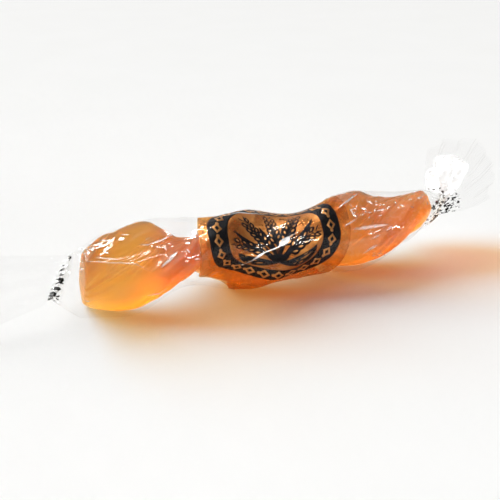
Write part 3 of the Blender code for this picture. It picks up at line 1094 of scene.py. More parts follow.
# Leaves: root, middle and tip as above, and width in mm
LEAVES = (
    (((0.0, -6.4), (-6.5, -7.0), (-8.2, -3.2)), 2.3),
    (((0.0, -6.4), (6.5, -7.0), (8.3, -3.4)), 2.3),
    (((-0.2, -5.8), (-3.8, -3.2), (-8.6, 2.6)), 1.5),
    (((0.2, -5.8), (4.0, -3.2), (8.8, 2.2)), 1.5),
    (((-0.1, -5.6), (-1.4, -1.0), (-2.5, 3.6)), 1.3),
    (((0.1, -5.6), (1.8, -1.0), (3.1, 3.6)), 1.3),
    (((-2.2, -5.0), (0.0, -5.9), (2.2, -5.0)), 1.9),
)
# Bristles of an ear: pairs on each, share of the ear where they start, length of the first and
# how much shorter each next one is, and width, in mm
AWNS_EACH = 5
AWNS_FROM = 0.55
AWN_LENGTH = 2.0
AWN_SHORTER = 0.12
AWN_WIDTH = 0.28
# A bristle's reach along its ear and away from it for each mm of length, and its bow in mm
AWN_FORWARD = 0.86
AWN_OUTWARD = 0.5
AWN_BOW = 0.15
# Printed marks: length and width, roundness of the ends, tilt and step to the side
LOZENGE = {"Count": RING_MARKS, "Mark Length": 2.4 * MM, "Mark Width": 2.2 * MM,
           "Mark Thickness": INK, "Roundness": 1.0, "Tilt": 0.0, "Side Step": 0.0,
           "Taper": 0.0, "Unevenness": 0.0, "Seed": 1}
LOZENGE_CENTRE = dict(LOZENGE, **{"Mark Length": 1.15 * MM, "Mark Width": 0.95 * MM})
DOT = dict(LOZENGE, **{"Mark Length": 0.75 * MM, "Mark Width": 0.75 * MM, "Roundness": 3.0})
GRAIN = {"Mark Length": 2.5 * MM, "Mark Width": 1.5 * MM, "Mark Thickness": INK,
         "Roundness": 2.0, "Tilt": 0.45, "Side Step": 0.72 * MM, "Taper": 0.3,
         "Unevenness": 0.08, "Seed": 2}
GRAIN_LIGHT = dict(GRAIN, **{"Mark Length": 1.15 * MM, "Mark Width": 0.42 * MM})


def wrapped(flat, lift):
    """Flat print points (length, height, thickness) laid on the film, lift above it."""
    settings = bpy.context.scene.barley_print
    length = bpy.context.scene.barley_stick.length
    film = outer_film()
    normals = outward_normals(film)
    row = (settings.centre_along + flat[..., 0]) / length * (FILM_ROWS - 1)
    column = (settings.centre_angle - flat[..., 1] / PRINT_RADIUS) / TURN * FILM_SIDES
    spot = between(film, row, column)
    out = between(normals, row, column)
    return spot + out * (lift + flat[..., 2])[..., None]


def ink(name, shapes, lift, closed, material, strengths=None):
    """A piece of thin layers laid on the film from flat grids of (length, height)."""
    points = []
    faces = []
    for flat in shapes:
        level = np.zeros(flat.shape[:2] + (1,))
        top = wrapped(np.concatenate([flat, level + INK], axis=-1), lift)
        bottom = wrapped(np.concatenate([flat, level], axis=-1), lift)
        start = sum(len(p) for p in points)
        faces += [tuple(v + start for v in face) for face in slab_faces(*flat.shape[:2], closed)]
        points += [top.reshape(-1, 3), bottom.reshape(-1, 3)]
    made = new_object(name, np.concatenate(points), faces)
    face_outward(made)
    if strengths:
        values = np.concatenate([np.tile(strength.ravel(), 2) for strength in strengths])
        keep_values(made.data, "strength", values)
    as_piece(made, material)


def crease_strip(corners, width):
    """The flat shape of a crease: a strip along its corners, pointed at both ends."""
    settings = bpy.context.scene.barley_print
    turns = np.array([
        (s * MM - settings.centre_along, (settings.centre_angle - math.radians(a)) * PRINT_RADIUS)
        for s, a in corners])
    reach = np.concatenate([[0.0], np.cumsum(np.linalg.norm(np.diff(turns, axis=0), axis=1))])
    way = np.linspace(0.0, reach[-1], max(CREASE_LEAST_ROWS, int(reach[-1] / CREASE_STEP)))
    line = np.stack([np.interp(way, reach, column) for column in turns.T], axis=-1)
    return around_line(line, width)


def stray_glints(seed):
    """Short white strips of painted glint, scattered over the places in GLINTS and laid like the
    creases.
    """
    draw = np.random.default_rng(seed)
    found = []
    for start, end, low, high, count in GLINTS:
        for _ in range(count):
            along, angle = draw.uniform(start, end), draw.uniform(low, high)
            way = draw.uniform(0.0, math.pi)
            reach = draw.uniform(*GLINT_REACH)
            step = (reach * math.cos(way), math.degrees(reach * math.sin(way) * MM / PRINT_RADIUS))
            ends = ((along - step[0], angle - step[1]), (along + step[0], angle + step[1]))
            found.append((ends, draw.uniform(*GLINT_WIDTH), draw.uniform(*GLINT_STRENGTH)))
    return tuple(found)


def ridge_fade(rows):
    """Strength along a crease, as a column: full in its middle, nothing at its ends."""
    return np.sin(np.linspace(0.0, math.pi, rows))[:, None] ** 0.5


def around_line(line, width):
    """A flat shape along a line of points, pointed at both ends."""
    share = np.linspace(0.0, 1.0, len(line))[:, None]
    run = np.gradient(line, axis=0)
    side = np.stack([-run[:, 1], run[:, 0]], axis=-1) / np.linalg.norm(run, axis=1, keepdims=True)
    full = (1.0 - POINT_SHARE) * np.sin(share * math.pi) ** POINT_TAPER
    half = width * MM / 2 * (POINT_SHARE + full)
    return np.stack([line + side * half * across for across in (1.0, 0.5, 0.0, -0.5, -1.0)], axis=1)


def oval(half_length, half_height, count):
    """Points of a full oval, from the right, counterclockwise."""
    turn = np.arange(count) * TURN / count
    x = np.sign(np.cos(turn)) * np.abs(np.cos(turn)) ** (2.0 / OVAL_POWER)
    y = np.sign(np.sin(turn)) * np.abs(np.sin(turn)) ** (2.0 / OVAL_POWER)
    return np.stack([x * half_length, y * half_height], axis=-1)


def ring_oval(settings, share, count):
    """An oval in the ring: its outer edge where share is 0, its inner edge where it is 1."""
    return oval(settings.ring_length / 2 - share * settings.ring_side,
                settings.ring_height / 2 - share * settings.ring_top, count)


def curve_through(corners, start, end, count):
    """Points from share start to share end of the smooth line through three corners, in metres."""
    share = np.linspace(start, end, count)[:, None]
    first, middle, last = (np.array(corner) * MM for corner in corners)
    return first * (1.0 - share) ** 2 + middle * 2.0 * share * (1.0 - share) + last * share ** 2


def leaf(corners, width, rows=40):
    """A flat leaf along a smooth line through three corners, pointed at both ends."""
    return around_line(curve_through(corners, 0.0, 1.0, rows), width)


def awns(corners):
    """Thin bristles that fan out from an ear's upper half."""
    spine = curve_through(corners, AWNS_FROM, 1.0, AWNS_EACH) / MM
    run = spine[-1] - spine[0]
    run /= np.linalg.norm(run)
    side = np.array([-run[1], run[0]])
    bristles = []
    for number, root in enumerate(spine):
        for way in (-1.0, 1.0):
            lean = run * AWN_FORWARD + side * way * AWN_OUTWARD
            end = root + lean * (AWN_LENGTH - AWN_SHORTER * number)
            middle = (root + end) / 2 + side * way * AWN_BOW
            bristles.append(leaf((root, middle, end), AWN_WIDTH, 10))
    return bristles


MARK_INPUTS = (
    ("Count", "Int"), ("Mark Length", "Float"), ("Mark Width", "Float"),
    ("Mark Thickness", "Float"), ("Roundness", "Float"), ("Tilt", "Float"), ("Side Step", "Float"),
    ("Taper", "Float"), ("Unevenness", "Float"), ("Seed", "Int"), ("Material", "Material"),
)


def mark_tree():
    """The geometry tree that sets a row of printed marks along a path."""
    tree, path, given = new_tree("row_of_marks", MARK_INPUTS)
    rail = add(tree, "GeometryNodeMeshToCurve", {"Mesh": path})
    points = add(tree, "GeometryNodeCurveToPoints",
                 {"Curve": rail.outputs[0], "Count": given["Count"]}, mode="COUNT")
    index = Term(tree, add(tree, "GeometryNodeInputIndex").outputs[0])
    side = index.put("MODULO", index, 2.0) * 2.0 - 1.0
    tangent = add(tree, "ShaderNodeSeparateXYZ", {"Vector": points.outputs["Tangent"]})
    heading = index.put("ARCTAN2", *(Term(tree, tangent.outputs[axis]) for axis in "YX"))
    step = side * given["Side Step"]
    shift = add(tree, "ShaderNodeCombineXYZ",
                {"X": step * heading.sin() * -1.0, "Y": step * heading.cos()})
    moved = add(tree, "GeometryNodeSetPosition",
                {"Geometry": points.outputs["Points"], "Offset": shift.outputs[0]})
    block = add(tree, "GeometryNodeMeshCube",
                {"Size": (1.0, 1.0, 1.0), "Vertices X": 11, "Vertices Y": 5, "Vertices Z": 2})
    spot = add(tree, "ShaderNodeSeparateXYZ",
               {"Vector": add(tree, "GeometryNodeInputPosition").outputs[0]})
    away = abs(Term(tree, spot.outputs["X"]) * 2.0)
    profile = (1.0 - away ** given["Roundness"]).held(0.05, 1.0)
    drawn_in = add(tree, "ShaderNodeCombineXYZ", {
        "X": spot.outputs["X"], "Y": Term(tree, spot.outputs["Y"]) * profile,
        "Z": spot.outputs["Z"]})
    mark = add(tree, "GeometryNodeSetPosition",
               {"Geometry": block.outputs["Mesh"], "Position": drawn_in.outputs[0]})
    size = add(tree, "ShaderNodeCombineXYZ", {
        "X": given["Mark Length"], "Y": given["Mark Width"], "Z": given["Mark Thickness"]})
    turn = add(tree, "ShaderNodeCombineXYZ", {"Z": heading + side * given["Tilt"]})
    draw = add(tree, "FunctionNodeRandomValue",
               {2: 1.0 - given["Unevenness"], 3: 1.0, "Seed": given["Seed"]}, data_type="FLOAT")
    share = attribute(tree, "taper_share")
    smaller = (1.0 - share * given["Taper"]) * Term(tree, draw.outputs[1])
    scale = add(tree, "ShaderNodeVectorMath", {0: size.outputs[0]}, operation="SCALE")
    tree.links.new(smaller.socket, scale.inputs["Scale"])
    laid = add(tree, "GeometryNodeInstanceOnPoints", {
        "Points": moved.outputs[0], "Instance": mark.outputs[0], "Rotation": turn.outputs[0],
        "Scale": scale.outputs[0]})
    end_tree(tree, laid.outputs[0], given["Material"])
    return tree


def marks(name, path, closed, values, lift, material):
    """A piece of printed marks in a row along a flat path, wrapped onto the film."""
    last = len(path) - 1
    edges = [(i, i + 1) for i in range(last)]
    if closed:
        edges.append((last, 0))
    line = new_object("mark_path", [(x, y, 0.0) for x, y in path], [], edges)
    keep_values(line.data, "taper_share", np.linspace(0.0, 1.0, len(path)))
    tree = bpy.data.node_groups.get("row_of_marks") or mark_tree()
    made = grown(line, tree, dict(values, Material=material), name)
    made.data.vertices.foreach_set("co", wrapped(points_of(made.data), lift).ravel())
    made.data.update()
    face_outward(made)
    as_piece(made, material)


# Materials

def new_material(name):
    """An empty node material; gives it, its tree and its output."""
    material = bpy.data.materials.new(name)
    material.use_nodes = True
    tree = material.node_tree
    tree.nodes.clear()
    return material, tree, tree.nodes.new("ShaderNodeOutputMaterial")


def object_noise(tree, scale, detail, stretch=(1.0, 1.0, 1.0)):
    """Noise over the piece, in object coordinates."""
    spot = add(tree, "ShaderNodeTexCoord").outputs["Object"]
    mapped = add(tree, "ShaderNodeMapping", {"Vector": spot, "Scale": stretch})
    noise = add(tree, "ShaderNodeTexNoise",
                {"Vector": mapped.outputs[0], "Scale": scale, "Detail": detail})
    return noise.outputs[0]


def own_value(tree, name):
    """A value that the piece's mesh carries."""
    return Term(tree, add(tree, "ShaderNodeAttribute", attribute_name=name).outputs["Fac"])


def bumped(tree, height, strength, distance):
    """A normal that follows a height."""
    node = add(tree, "ShaderNodeBump",
               {"Height": height, "Strength": strength, "Distance": distance})
    return node.outputs[0]


def blend(tree, factor, first, second, **settings):
    """The colour that lies by this factor between two colours."""
    node = add(tree, "ShaderNodeMix", {"Factor": factor, "A": first, "B": second},
               data_type="RGBA", **settings)
    return node.outputs["Result"]


def mixed(tree, share, first, second):
    """A mix of two shaders: the first where share is 0, the second where it is 1."""
    return add(tree, "ShaderNodeMixShader", {0: share, 1: first.outputs[0], 2: second.outputs[0]})


def lit_through(tree, surface, color, out):
    """Let light pass a surface in a colour of its own, without casting a full shadow."""
    passed = add(tree, "ShaderNodeBsdfTransparent", {"Color": color})
    path = add(tree, "ShaderNodeLightPath")
    shown = mixed(tree, path.outputs["Is Shadow Ray"], surface, passed)
    tree.links.new(shown.outputs[0], out.inputs["Surface"])


def shade(color, times=1.0):
    """A colour of the settings, made so many times as bright."""
    return tuple(min(1.0, part * times) for part in color) + (1.0,)


# Colours of the sugar: most of it; the deeper red of painted shade in its first groove; the paler
# painted reflection of the table on its left end; its fine bubbles; what the painted shade toward
# the tip keeps of them; and what light keeps that passes the sugar's skin on the left and on the
# right
AMBER = (0.82, 0.41, 0.085, 1.0)
PAINTED_SHADE_RED = (0.92, 0.30, 0.06, 1.0)
PAINTED_REFLECTION_AMBER = (1.0, 0.67, 0.15, 1.0)
BUBBLES = (1.0, 0.74, 0.40, 1.0)
PAINTED_TIP_SHADE = (0.86, 0.84, 0.78, 1.0)
LEFT_SKIN = (0.93, 0.88, 0.80, 1.0)
RIGHT_SKIN = (0.98, 0.97, 0.81, 1.0)
PLAIN = (1.0, 1.0, 1.0, 1.0)
# Stretches along the stick over which those colours change, slanting back by this much with height
PAINTED_REFLECTION_ENDS = (-37.0 * MM, -32.0 * MM)
PAINTED_SHADE_RED_STARTS = (-34.0 * MM, -30.0 * MM)
PAINTED_SHADE_RED_ENDS = (-24.0 * MM, -18.0 * MM)
BUBBLES_START = (-33.0 * MM, -27.0 * MM)
PAINTED_TIP_SHADE_STARTS = (6.0 * MM, 24.0 * MM)
SKIN_CHANGES = (-8.0 * MM, 16.0 * MM)
TONE_SLANT = 0.65
# How much of the pale colour the painted reflection on the left end and the cloudiness add, and the
# noise levels and share of the bubbles
PAINTED_REFLECTION_SHARE = 0.6
CLOUD_SHARE = 0.6
BUBBLE_LEVELS = (0.50, 0.66)
BUBBLE_SHARE = 0.5
# Colours of the film: seen flat, seen along its surface, the painted dark reflections in its tied
# folds, and as it lets light by
FILM_CLEAR = (0.993, 0.993, 0.993, 1.0)
FILM_EDGE = (0.95, 0.945, 0.94, 1.0)
FILM_PAINTED_DARK_REFLECTION = (0.05, 0.045, 0.04, 1.0)
FILM_MILK = (0.97, 0.97, 0.97, 1.0)
FILM_PASSES = (0.985, 0.985, 0.985, 1.0)
# Shine of the film all over, along its edges and where it is bunched, and how it is roughened there
FILM_SHINE = 0.031
EDGE_SHINE = 0.15
EDGE_SHINE_POWER = 5.0
EDGE_TINT_POWER = 3.0
BUNCHED_SHINE = 0.05
FILM_ROUGHNESS = 0.06
BUNCHED_ROUGHER = 0.22
# Painted dark reflections, as specks: the noise levels that make them, how far tied film lowers
# those, and how tied it is
DARK_REFLECTION_LEVELS = (0.64, 0.69)
DARK_REFLECTION_LOWERED = 0.11
DARK_REFLECTION_TIED = (0.05, 0.3)
# Milkiness of bunched film: its least share, what the crinkles add, and their noise levels
MILK_LEAST = 0.3
MILK_ADDED = 0.3
MILK_LEVELS = (0.42, 0.58)
# Creases and the white strips of painted highlight: their colours, how much of them is gloss, and
# how noise breaks them up
CREASE_AND_HIGHLIGHT_WHITE = (0.98, 0.98, 0.97, 1.0)
CREASE_PASSES = (0.99, 0.99, 0.99, 1.0)
CREASE_GLOSS = 0.9
CREASE_LEAST = 0.5
CREASE_LEVELS = (0.3, 0.6)
# Share of the ink that covers, what light keeps that passes it, and the shadow that it casts
GOLD_COVER = 0.12
GOLD_TINT = (0.98, 0.82, 0.54, 1.0)
BRONZE_COVER = 0.35
BRONZE_TINT = (0.80, 0.72, 0.62, 1.0)
GOLD_PASSES = (0.93, 0.86, 0.78, 1.0)
MARK_PASSES = (0.98, 0.92, 0.82, 1.0)
BLACK_PASSES = (0.88, 0.80, 0.73, 1.0)
# How dark and how light each ink's cloudiness makes its colour, and the noise levels and share of
# the patches where gold covers more
GOLD_TONES = (0.7, 1.35)
MARK_TONES = (0.7, 1.5)
BLACK_TONES = (1.0, 2.6)
PATCH_LEVELS = (0.35, 0.65)
PATCH_COVER = 0.35


def amber_sugar(stick):
    """Clear boiled sugar: light passes through and comes out deeper orange where it is thick; its
    colour also carries painted reflection and shade.
    """
    material, tree, out = new_material("amber_sugar")
    pulled = object_noise(tree, 900.0, 3.0, (0.35, 1.0, 1.0))
    normal = bumped(tree, pulled, 0.22, 0.3 * MM)
    cloud = Term(tree, object_noise(tree, 160.0, 3.0, (0.5, 1.0, 1.0)))
    spot = add(tree, "ShaderNodeTexCoord").outputs["Object"]
    place = add(tree, "ShaderNodeSeparateXYZ", {"Vector": spot})
    slanted = Term(tree, place.outputs["X"]) - Term(tree, place.outputs["Z"]) * TONE_SLANT
    # Painted reflection: the left end is paler, for the film's reflection of the table; the cloud
    # adds real cloudiness
    paler = (1.0 - slanted.ramp(*PAINTED_REFLECTION_ENDS)) * PAINTED_REFLECTION_SHARE + cloud * CLOUD_SHARE
    # Painted shade: deeper red along the first groove
    shaded_redder = slanted.ramp(*PAINTED_SHADE_RED_STARTS) * (1.0 - slanted.ramp(*PAINTED_SHADE_RED_ENDS))
    tone = blend(tree, paler, blend(tree, shaded_redder, AMBER, PAINTED_SHADE_RED), PAINTED_REFLECTION_AMBER)
    grain = Term(tree, object_noise(tree, 1250.0, 2.0, (0.7, 1.0, 1.0)))
    grained = slanted.ramp(*BUBBLES_START) * grain.ramp(*BUBBLE_LEVELS) * BUBBLE_SHARE
    # Painted shade: the colour darkens toward the tip
    kept = blend(tree, slanted.ramp(*PAINTED_TIP_SHADE_STARTS), PLAIN, PAINTED_TIP_SHADE)
    shaded = blend(tree, 1.0, tone, kept, blend_type="MULTIPLY")
    sugar = add(tree, "ShaderNodeBsdfPrincipled", {
        "Base Color": blend(tree, grained, shaded, BUBBLES), "Roughness": 0.62, "IOR": 1.45,
        "Transmission Weight": 0.86, "Subsurface Weight": 1.0,
        "Subsurface Radius": (1.0, 0.45, 0.15), "Subsurface Scale": 3.5 * MM,
        "Coat Weight": 0.25, "Coat Roughness": 0.06, "Normal": normal})
    passed = blend(tree, Term(tree, place.outputs["X"]).ramp(*SKIN_CHANGES), LEFT_SKIN, RIGHT_SKIN)
    lit_through(tree, sugar, passed, out)
    depth = add(tree, "ShaderNodeVolumeAbsorption",
                {"Color": shade(stick.absorbed), "Density": stick.density})
    tree.links.new(depth.outputs[0], out.inputs["Volume"])
    return material


def clear_film():
    """Crisp clear film: shinier toward its edges and where it is bunched, with specks of painted
    dark reflection where it is tied.
    """
    material, tree, out = new_material("clear_film")
    bunched, smooth, tied = (own_value(tree, name) for name in ("bunched", "gloss", "tied"))
    crinkle = object_noise(tree, 420.0, 4.0, (0.6, 1.0, 1.0))
    normal = bumped(tree, crinkle, 0.35, 0.25 * MM)
    weight = add(tree, "ShaderNodeLayerWeight", {"Blend": 0.5, "Normal": normal})
    facing = Term(tree, weight.outputs["Facing"])
    edge_shine = facing ** EDGE_SHINE_POWER * EDGE_SHINE
    shine = (edge_shine + FILM_SHINE) * smooth + bunched * BUNCHED_SHINE
    edge = facing ** EDGE_TINT_POWER * smooth * (1.0 - bunched)
    streaks = Term(tree, object_noise(tree, 1500.0, 2.0, (0.5, 1.0, 1.0)))
    # Specks of painted dark reflection where the film is tied
    levels = (level - tied * DARK_REFLECTION_LOWERED for level in DARK_REFLECTION_LEVELS)
    painted_dark_reflection = streaks.ramp(*levels) * tied.ramp(*DARK_REFLECTION_TIED)
    tone = blend(tree, painted_dark_reflection, blend(tree, edge, FILM_CLEAR, FILM_EDGE), FILM_PAINTED_DARK_REFLECTION)
    clear = add(tree, "ShaderNodeBsdfTransparent", {"Color": tone})
    rough = bunched * BUNCHED_ROUGHER + FILM_ROUGHNESS
    gloss = add(tree, "ShaderNodeBsdfGlossy",
                {"Color": PLAIN, "Roughness": rough, "Normal": normal})
    white = add(tree, "ShaderNodeBsdfTranslucent", {"Color": FILM_MILK})
    mottled = (Term(tree, crinkle).ramp(*MILK_LEVELS) * MILK_ADDED + MILK_LEAST) * (1.0 - painted_dark_reflection)
    milky = mixed(tree, bunched * mottled, clear, white)
    lit_through(tree, mixed(tree, shine, milky, gloss), FILM_PASSES, out)
    return material


def crease_and_highlight_film():
    """Film folded sharply, and white strips of painted highlight: milky and glossy, more so where
    stronger.
    """
    material, tree, out = new_material("crease_and_highlight_film")
    chalk = add(tree, "ShaderNodeBsdfDiffuse", {"Color": CREASE_AND_HIGHLIGHT_WHITE})
    gloss = add(tree, "ShaderNodeBsdfGlossy", {"Color": PLAIN, "Roughness": 0.42})
    clear = add(tree, "ShaderNodeBsdfTransparent", {"Color": CREASE_PASSES})
    patches = Term(tree, object_noise(tree, 1100.0, 2.0)).ramp(*CREASE_LEVELS)
    broken = patches * (1.0 - CREASE_LEAST) + CREASE_LEAST
    shiny = mixed(tree, CREASE_GLOSS, chalk, gloss)
    surface = mixed(tree, own_value(tree, "strength") * broken, clear, shiny)
    lit_through(tree, surface, CREASE_PASSES, out)
    return material


def gold_print(settings, name="gold_print", cover=GOLD_COVER, tint_color=GOLD_TINT):
    """Half see-through gold ink with a metal shine; light that passes it turns amber."""
    material, tree, out = new_material(name)
    cloud = object_noise(tree, 260.0, 5.0)
    tone = blend(tree, cloud, *(shade(settings.gold, times) for times in GOLD_TONES))
    crinkle = object_noise(tree, 380.0, 4.0, (0.5, 1.0, 1.0))
    metal = add(tree, "ShaderNodeBsdfPrincipled", {
        "Base Color": tone, "Metallic": 0.8, "Roughness": 0.4,
        "Normal": bumped(tree, crinkle, 0.6, 0.4 * MM)})
    tint = add(tree, "ShaderNodeBsdfTransparent", {"Color": tint_color})
    half = Term(tree, cloud).ramp(*PATCH_LEVELS) * PATCH_COVER + cover
    lit_through(tree, mixed(tree, half, tint, metal), GOLD_PASSES, out)
    return material


def gold_mark(settings):
    """Solid gold ink, for the marks that stand on black."""
    material, tree, out = new_material("gold_mark")
    cloud = object_noise(tree, 700.0, 4.0)
    tone = blend(tree, cloud, *(shade(settings.gold, times) for times in MARK_TONES))
    metal = add(tree, "ShaderNodeBsdfPrincipled",
                {"Base Color": tone, "Metallic": 0.5, "Roughness": 0.3})
    lit_through(tree, metal, MARK_PASSES, out)
    return material


def black_print(settings):
    """Black ink under gloss, a little uneven in cover."""
    material, tree, out = new_material("black_print")
    cloud = object_noise(tree, 600.0, 4.0)
    tone = blend(tree, cloud, *(shade(settings.black, times) for times in BLACK_TONES))
    cover = add(tree, "ShaderNodeBsdfPrincipled",
                {"Base Color": tone, "Roughness": 0.4, "Specular IOR Level": 0.1})
    lit_through(tree, cover, BLACK_PASSES, out)
    return material


def material_named(name, maker, *given):
    """A material of this file, made once."""
    return bpy.data.materials.get(name) or maker(*given)


# Stage

# Brightness of the room behind the stick and on the camera's side, as light sees it that has
# passed the sugar, and as gloss sees it; and where along Y it brightens
BACK_ROOM = 0.44
FRONT_ROOM = 0.08
SUGAR_ROOM = 1.06
GLOSS_ROOM = 0.16
ROOM_BRIGHTENS = (-0.35, 0.45)
GLOSS_BRIGHTENS = (0.2, 0.8)
ROOM_WHITE = (1.0, 0.995, 0.975, 1.0)
# The table: its two tones and half its side
TABLE_GREY = (0.90, 0.90, 0.89, 1.0)
TABLE_WHITE = (0.93, 0.93, 0.925, 1.0)
TABLE_HALF = 4.0
# The point that the camera looks at and the lights stand round, and the rest of the camera
LOOKED_AT = Vector((-6.25 * MM, 0.0, 9.0 * MM))
FRAME_WIDTH_MM = 36.0
LENS_SHIFT = (0.0137, -0.0034)
NEAREST_SEEN = 0.01
# Strips of light that only gloss sees: name, azimuth and elevation of both ends in degrees, width
# and power
SHEENS = (
    ("front_sheen", (-20.0, 43.0), (24.0, 24.0), 0.03, 1.5),
    ("top_sheen", (60.0, 70.0), (165.0, 58.0), 0.02, 2.2),
)
SHEEN_DISTANCE = 0.6
# A wide sun that only gloss sees: its strength, its width and where it stands
GLEAM = 3.9
GLEAM_SIZE = math.radians(20.0)
GLEAM_FROM = (math.radians(-123.0), math.radians(34.0))


def toward(azimuth, elevation):
    """The unit direction at an azimuth, measured from -Y toward +X, and an elevation."""
    level = math.cos(elevation)
    return Vector((math.sin(azimuth) * level, -math.cos(azimuth) * level, math.sin(elevation)))


def lamp(name, kind, energy, unseen_by):
    """A light and its object, which rays of some kinds don't see."""
    light = bpy.data.lights.new(name, kind)
    light.energy = energy
    made = placed(name, light)
    for rays in unseen_by:
        setattr(made, "visible_" + rays, False)
    return light, made


def key_lamp(stage):
    """The soft main lamp, close by, as bright on the far side of the table as on the near side."""
    key, made = lamp("key_light", "POINT", stage.key_strength * 2 * TURN,
                     ("transmission", "glossy", "camera"))
    key.shadow_soft_size = stage.key_radius
    key.use_nodes = True
    tree = key.node_tree
    path = add(tree, "ShaderNodeLightPath")
    even = Term(tree, path.outputs["Ray Length"]) / stage.key_distance
    fading = add(tree, "ShaderNodeLightFalloff", {"Strength": even})
    tree.links.new(fading.outputs["Constant"], tree.nodes["Emission"].inputs["Strength"])
    way = toward(stage.key_azimuth, stage.key_elevation)
    made.location = LOOKED_AT + way * stage.key_distance


def gleam():
    """The wide sun that only gloss sees."""
    light, made = lamp("gleam", "SUN", GLEAM, ("transmission", "diffuse"))
    light.angle = GLEAM_SIZE
    made.rotation_euler = (-toward(*GLEAM_FROM)).to_track_quat("-Z", "Y").to_euler()


def sheen(name, start, end, width, power):
    """A strip of light between two directions, only seen as a reflection on glossy surfaces."""
    first, last = (LOOKED_AT + toward(*map(math.radians, way)) * SHEEN_DISTANCE
                   for way in (start, end))
    light, made = lamp(name, "AREA", power, ("diffuse", "transmission"))
    light.shape = "RECTANGLE"
    light.size = (last - first).length
    light.size_y = width
    middle = (first + last) / 2
    run = (last - first).normalized()
    across = (middle - LOOKED_AT).normalized().cross(run).normalized()
    made.location = middle
    made.rotation_euler = Matrix((run, across, run.cross(across))).transposed().to_euler()


def lay_table():
    """The table: one wide square at the height that the stick lies on."""
    signs = ((-1, -1), (1, -1), (1, 1), (-1, 1))
    corners = [(x * TABLE_HALF, y * TABLE_HALF, 0.0) for x, y in signs]
    table = new_object("table", corners, [(0, 1, 2, 3)])
    table.data.materials.append(white_table())


def set_camera(stage):
    """The camera, at the angle and distance of the settings."""
    back = toward(stage.azimuth, stage.elevation)
    lens = bpy.data.cameras.new("camera")
    lens.sensor_width = FRAME_WIDTH_MM
    lens.lens = stage.focal_length
    lens.shift_x, lens.shift_y = LENS_SHIFT
    lens.clip_start = NEAREST_SEEN
    camera = placed("camera", lens)
    camera.location = LOOKED_AT + back * stage.distance
    camera.rotation_euler = (-back).to_track_quat("-Z", "Y").to_euler()
    bpy.context.scene.camera = camera


def soft_room():
    """A pale room, brighter behind the stick than on the camera's side."""
    world = bpy.data.worlds.new("soft_room")
    world.use_nodes = True
    tree = world.node_tree
    spot = add(tree, "ShaderNodeTexCoord").outputs["Generated"]
    across = Term(tree, add(tree, "ShaderNodeSeparateXYZ", {"Vector": spot}).outputs["Y"])
    strength = across.ramp(*ROOM_BRIGHTENS) * (BACK_ROOM - FRONT_ROOM) + FRONT_ROOM
    path = add(tree, "ShaderNodeLightPath")
    mirrored = across.ramp(*GLOSS_BRIGHTENS) * BACK_ROOM + GLOSS_ROOM
    strength = strength + (SUGAR_ROOM - strength) * Term(tree, path.outputs["Is Transmission Ray"])
    strength = strength + (mirrored - strength) * Term(tree, path.outputs["Is Glossy Ray"])
    sky = tree.nodes["Background"]
    sky.inputs["Color"].default_value = ROOM_WHITE
    tree.links.new(strength.socket, sky.inputs["Strength"])
    return world


def white_table():
    """Smooth white table, very slightly mottled."""
    material, tree, out = new_material("white_table")
    cloud = object_noise(tree, 30.0, 3.0)
    tone = blend(tree, cloud, TABLE_GREY, TABLE_WHITE)
    top = add(tree, "ShaderNodeBsdfPrincipled", {"Base Color": tone, "Roughness": 0.6})
    tree.links.new(top.outputs[0], out.inputs["Surface"])
    return material


# Operators

class BARLEY_OT_sugar_stick(bpy.types.Operator):
    """Sweep the twisted sugar stick along its centre line"""

    bl_idname = "barley.sugar_stick"
    bl_label = "Sugar stick"

    def execute(self, context):
        stick = context.scene.barley_stick
        sugar = amber_sugar(stick)
        values = {
            "Sides": STICK_SIDES, "Length": stick.length, "Width": stick.width,
            "Waist Width": stick.waist_width, "Left Thickness": stick.left_thickness,
            "Right Thickness": stick.right_thickness, "Half Turn": stick.half_turn,
            "Tilt": stick.wide_tilt, "Unevenness": stick.unevenness,
            "Pull Line Depth": stick.pull_lines, "Seed": float(stick.seed), "Material": sugar,
        }
        made = grown(centre_line(stick), stick_tree(), values, "sugar_stick")
        face_outward(made)
        as_piece(made, sugar)
        return {"FINISHED"}


class BARLEY_OT_film_sleeve(bpy.types.Operator):
    """Pull the clear film over the stick and draw it in to both gathers"""

    bl_idname = "barley.film_sleeve"
    bl_label = "Film sleeve"

    def execute(self, context):
        scene = context.scene
        sugar = bpy.data.objects["sugar_stick"]
        grid = film_grid(sugar, scene.barley_stick, scene.barley_film)
        looks = sleeve_looks(len(grid), scene)
        film_sheet("film_sleeve", grid, scene.barley_film.thickness, *looks)
        return {"FINISHED"}


class BARLEY_OT_film_tails(bpy.types.Operator):
    """Fan the film out beyond both gathers"""

    bl_idname = "barley.film_tails"
    bl_label = "Film tails"

    def execute(self, context):
        film = context.scene.barley_film
        for tail in TAILS:
            grid = tail_grid(tail, FILM_ANGLES, film)
            bunched, tied = tail_looks(tail, film)
            film_sheet(tail["name"], grid, film.thickness, bunched, tied, tail["gloss"])
        return {"FINISHED"}


class BARLEY_OT_film_creases_and_highlights(bpy.types.Operator):
    """Lay the sharp creases on the film that catch the light, and white strips of painted highlight
    and glint
    """

    bl_idname = "barley.film_creases"
    bl_label = "Film creases"

    def execute(self, context):
        creases = CREASES_AND_HIGHLIGHTS + stray_glints(context.scene.barley_film.seed)
        strips = [crease_strip(corners, width * CREASE_SPREAD) for corners, width, _ in creases]
        strengths = [strength * CREASE_EDGE * ridge_fade(len(strip))
                     for strip, (_, _, strength) in zip(strips, creases)]
        ink("film_creases", strips, CREASE_LIFT, False, crease_and_highlight_film(), strengths)
        return {"FINISHED"}


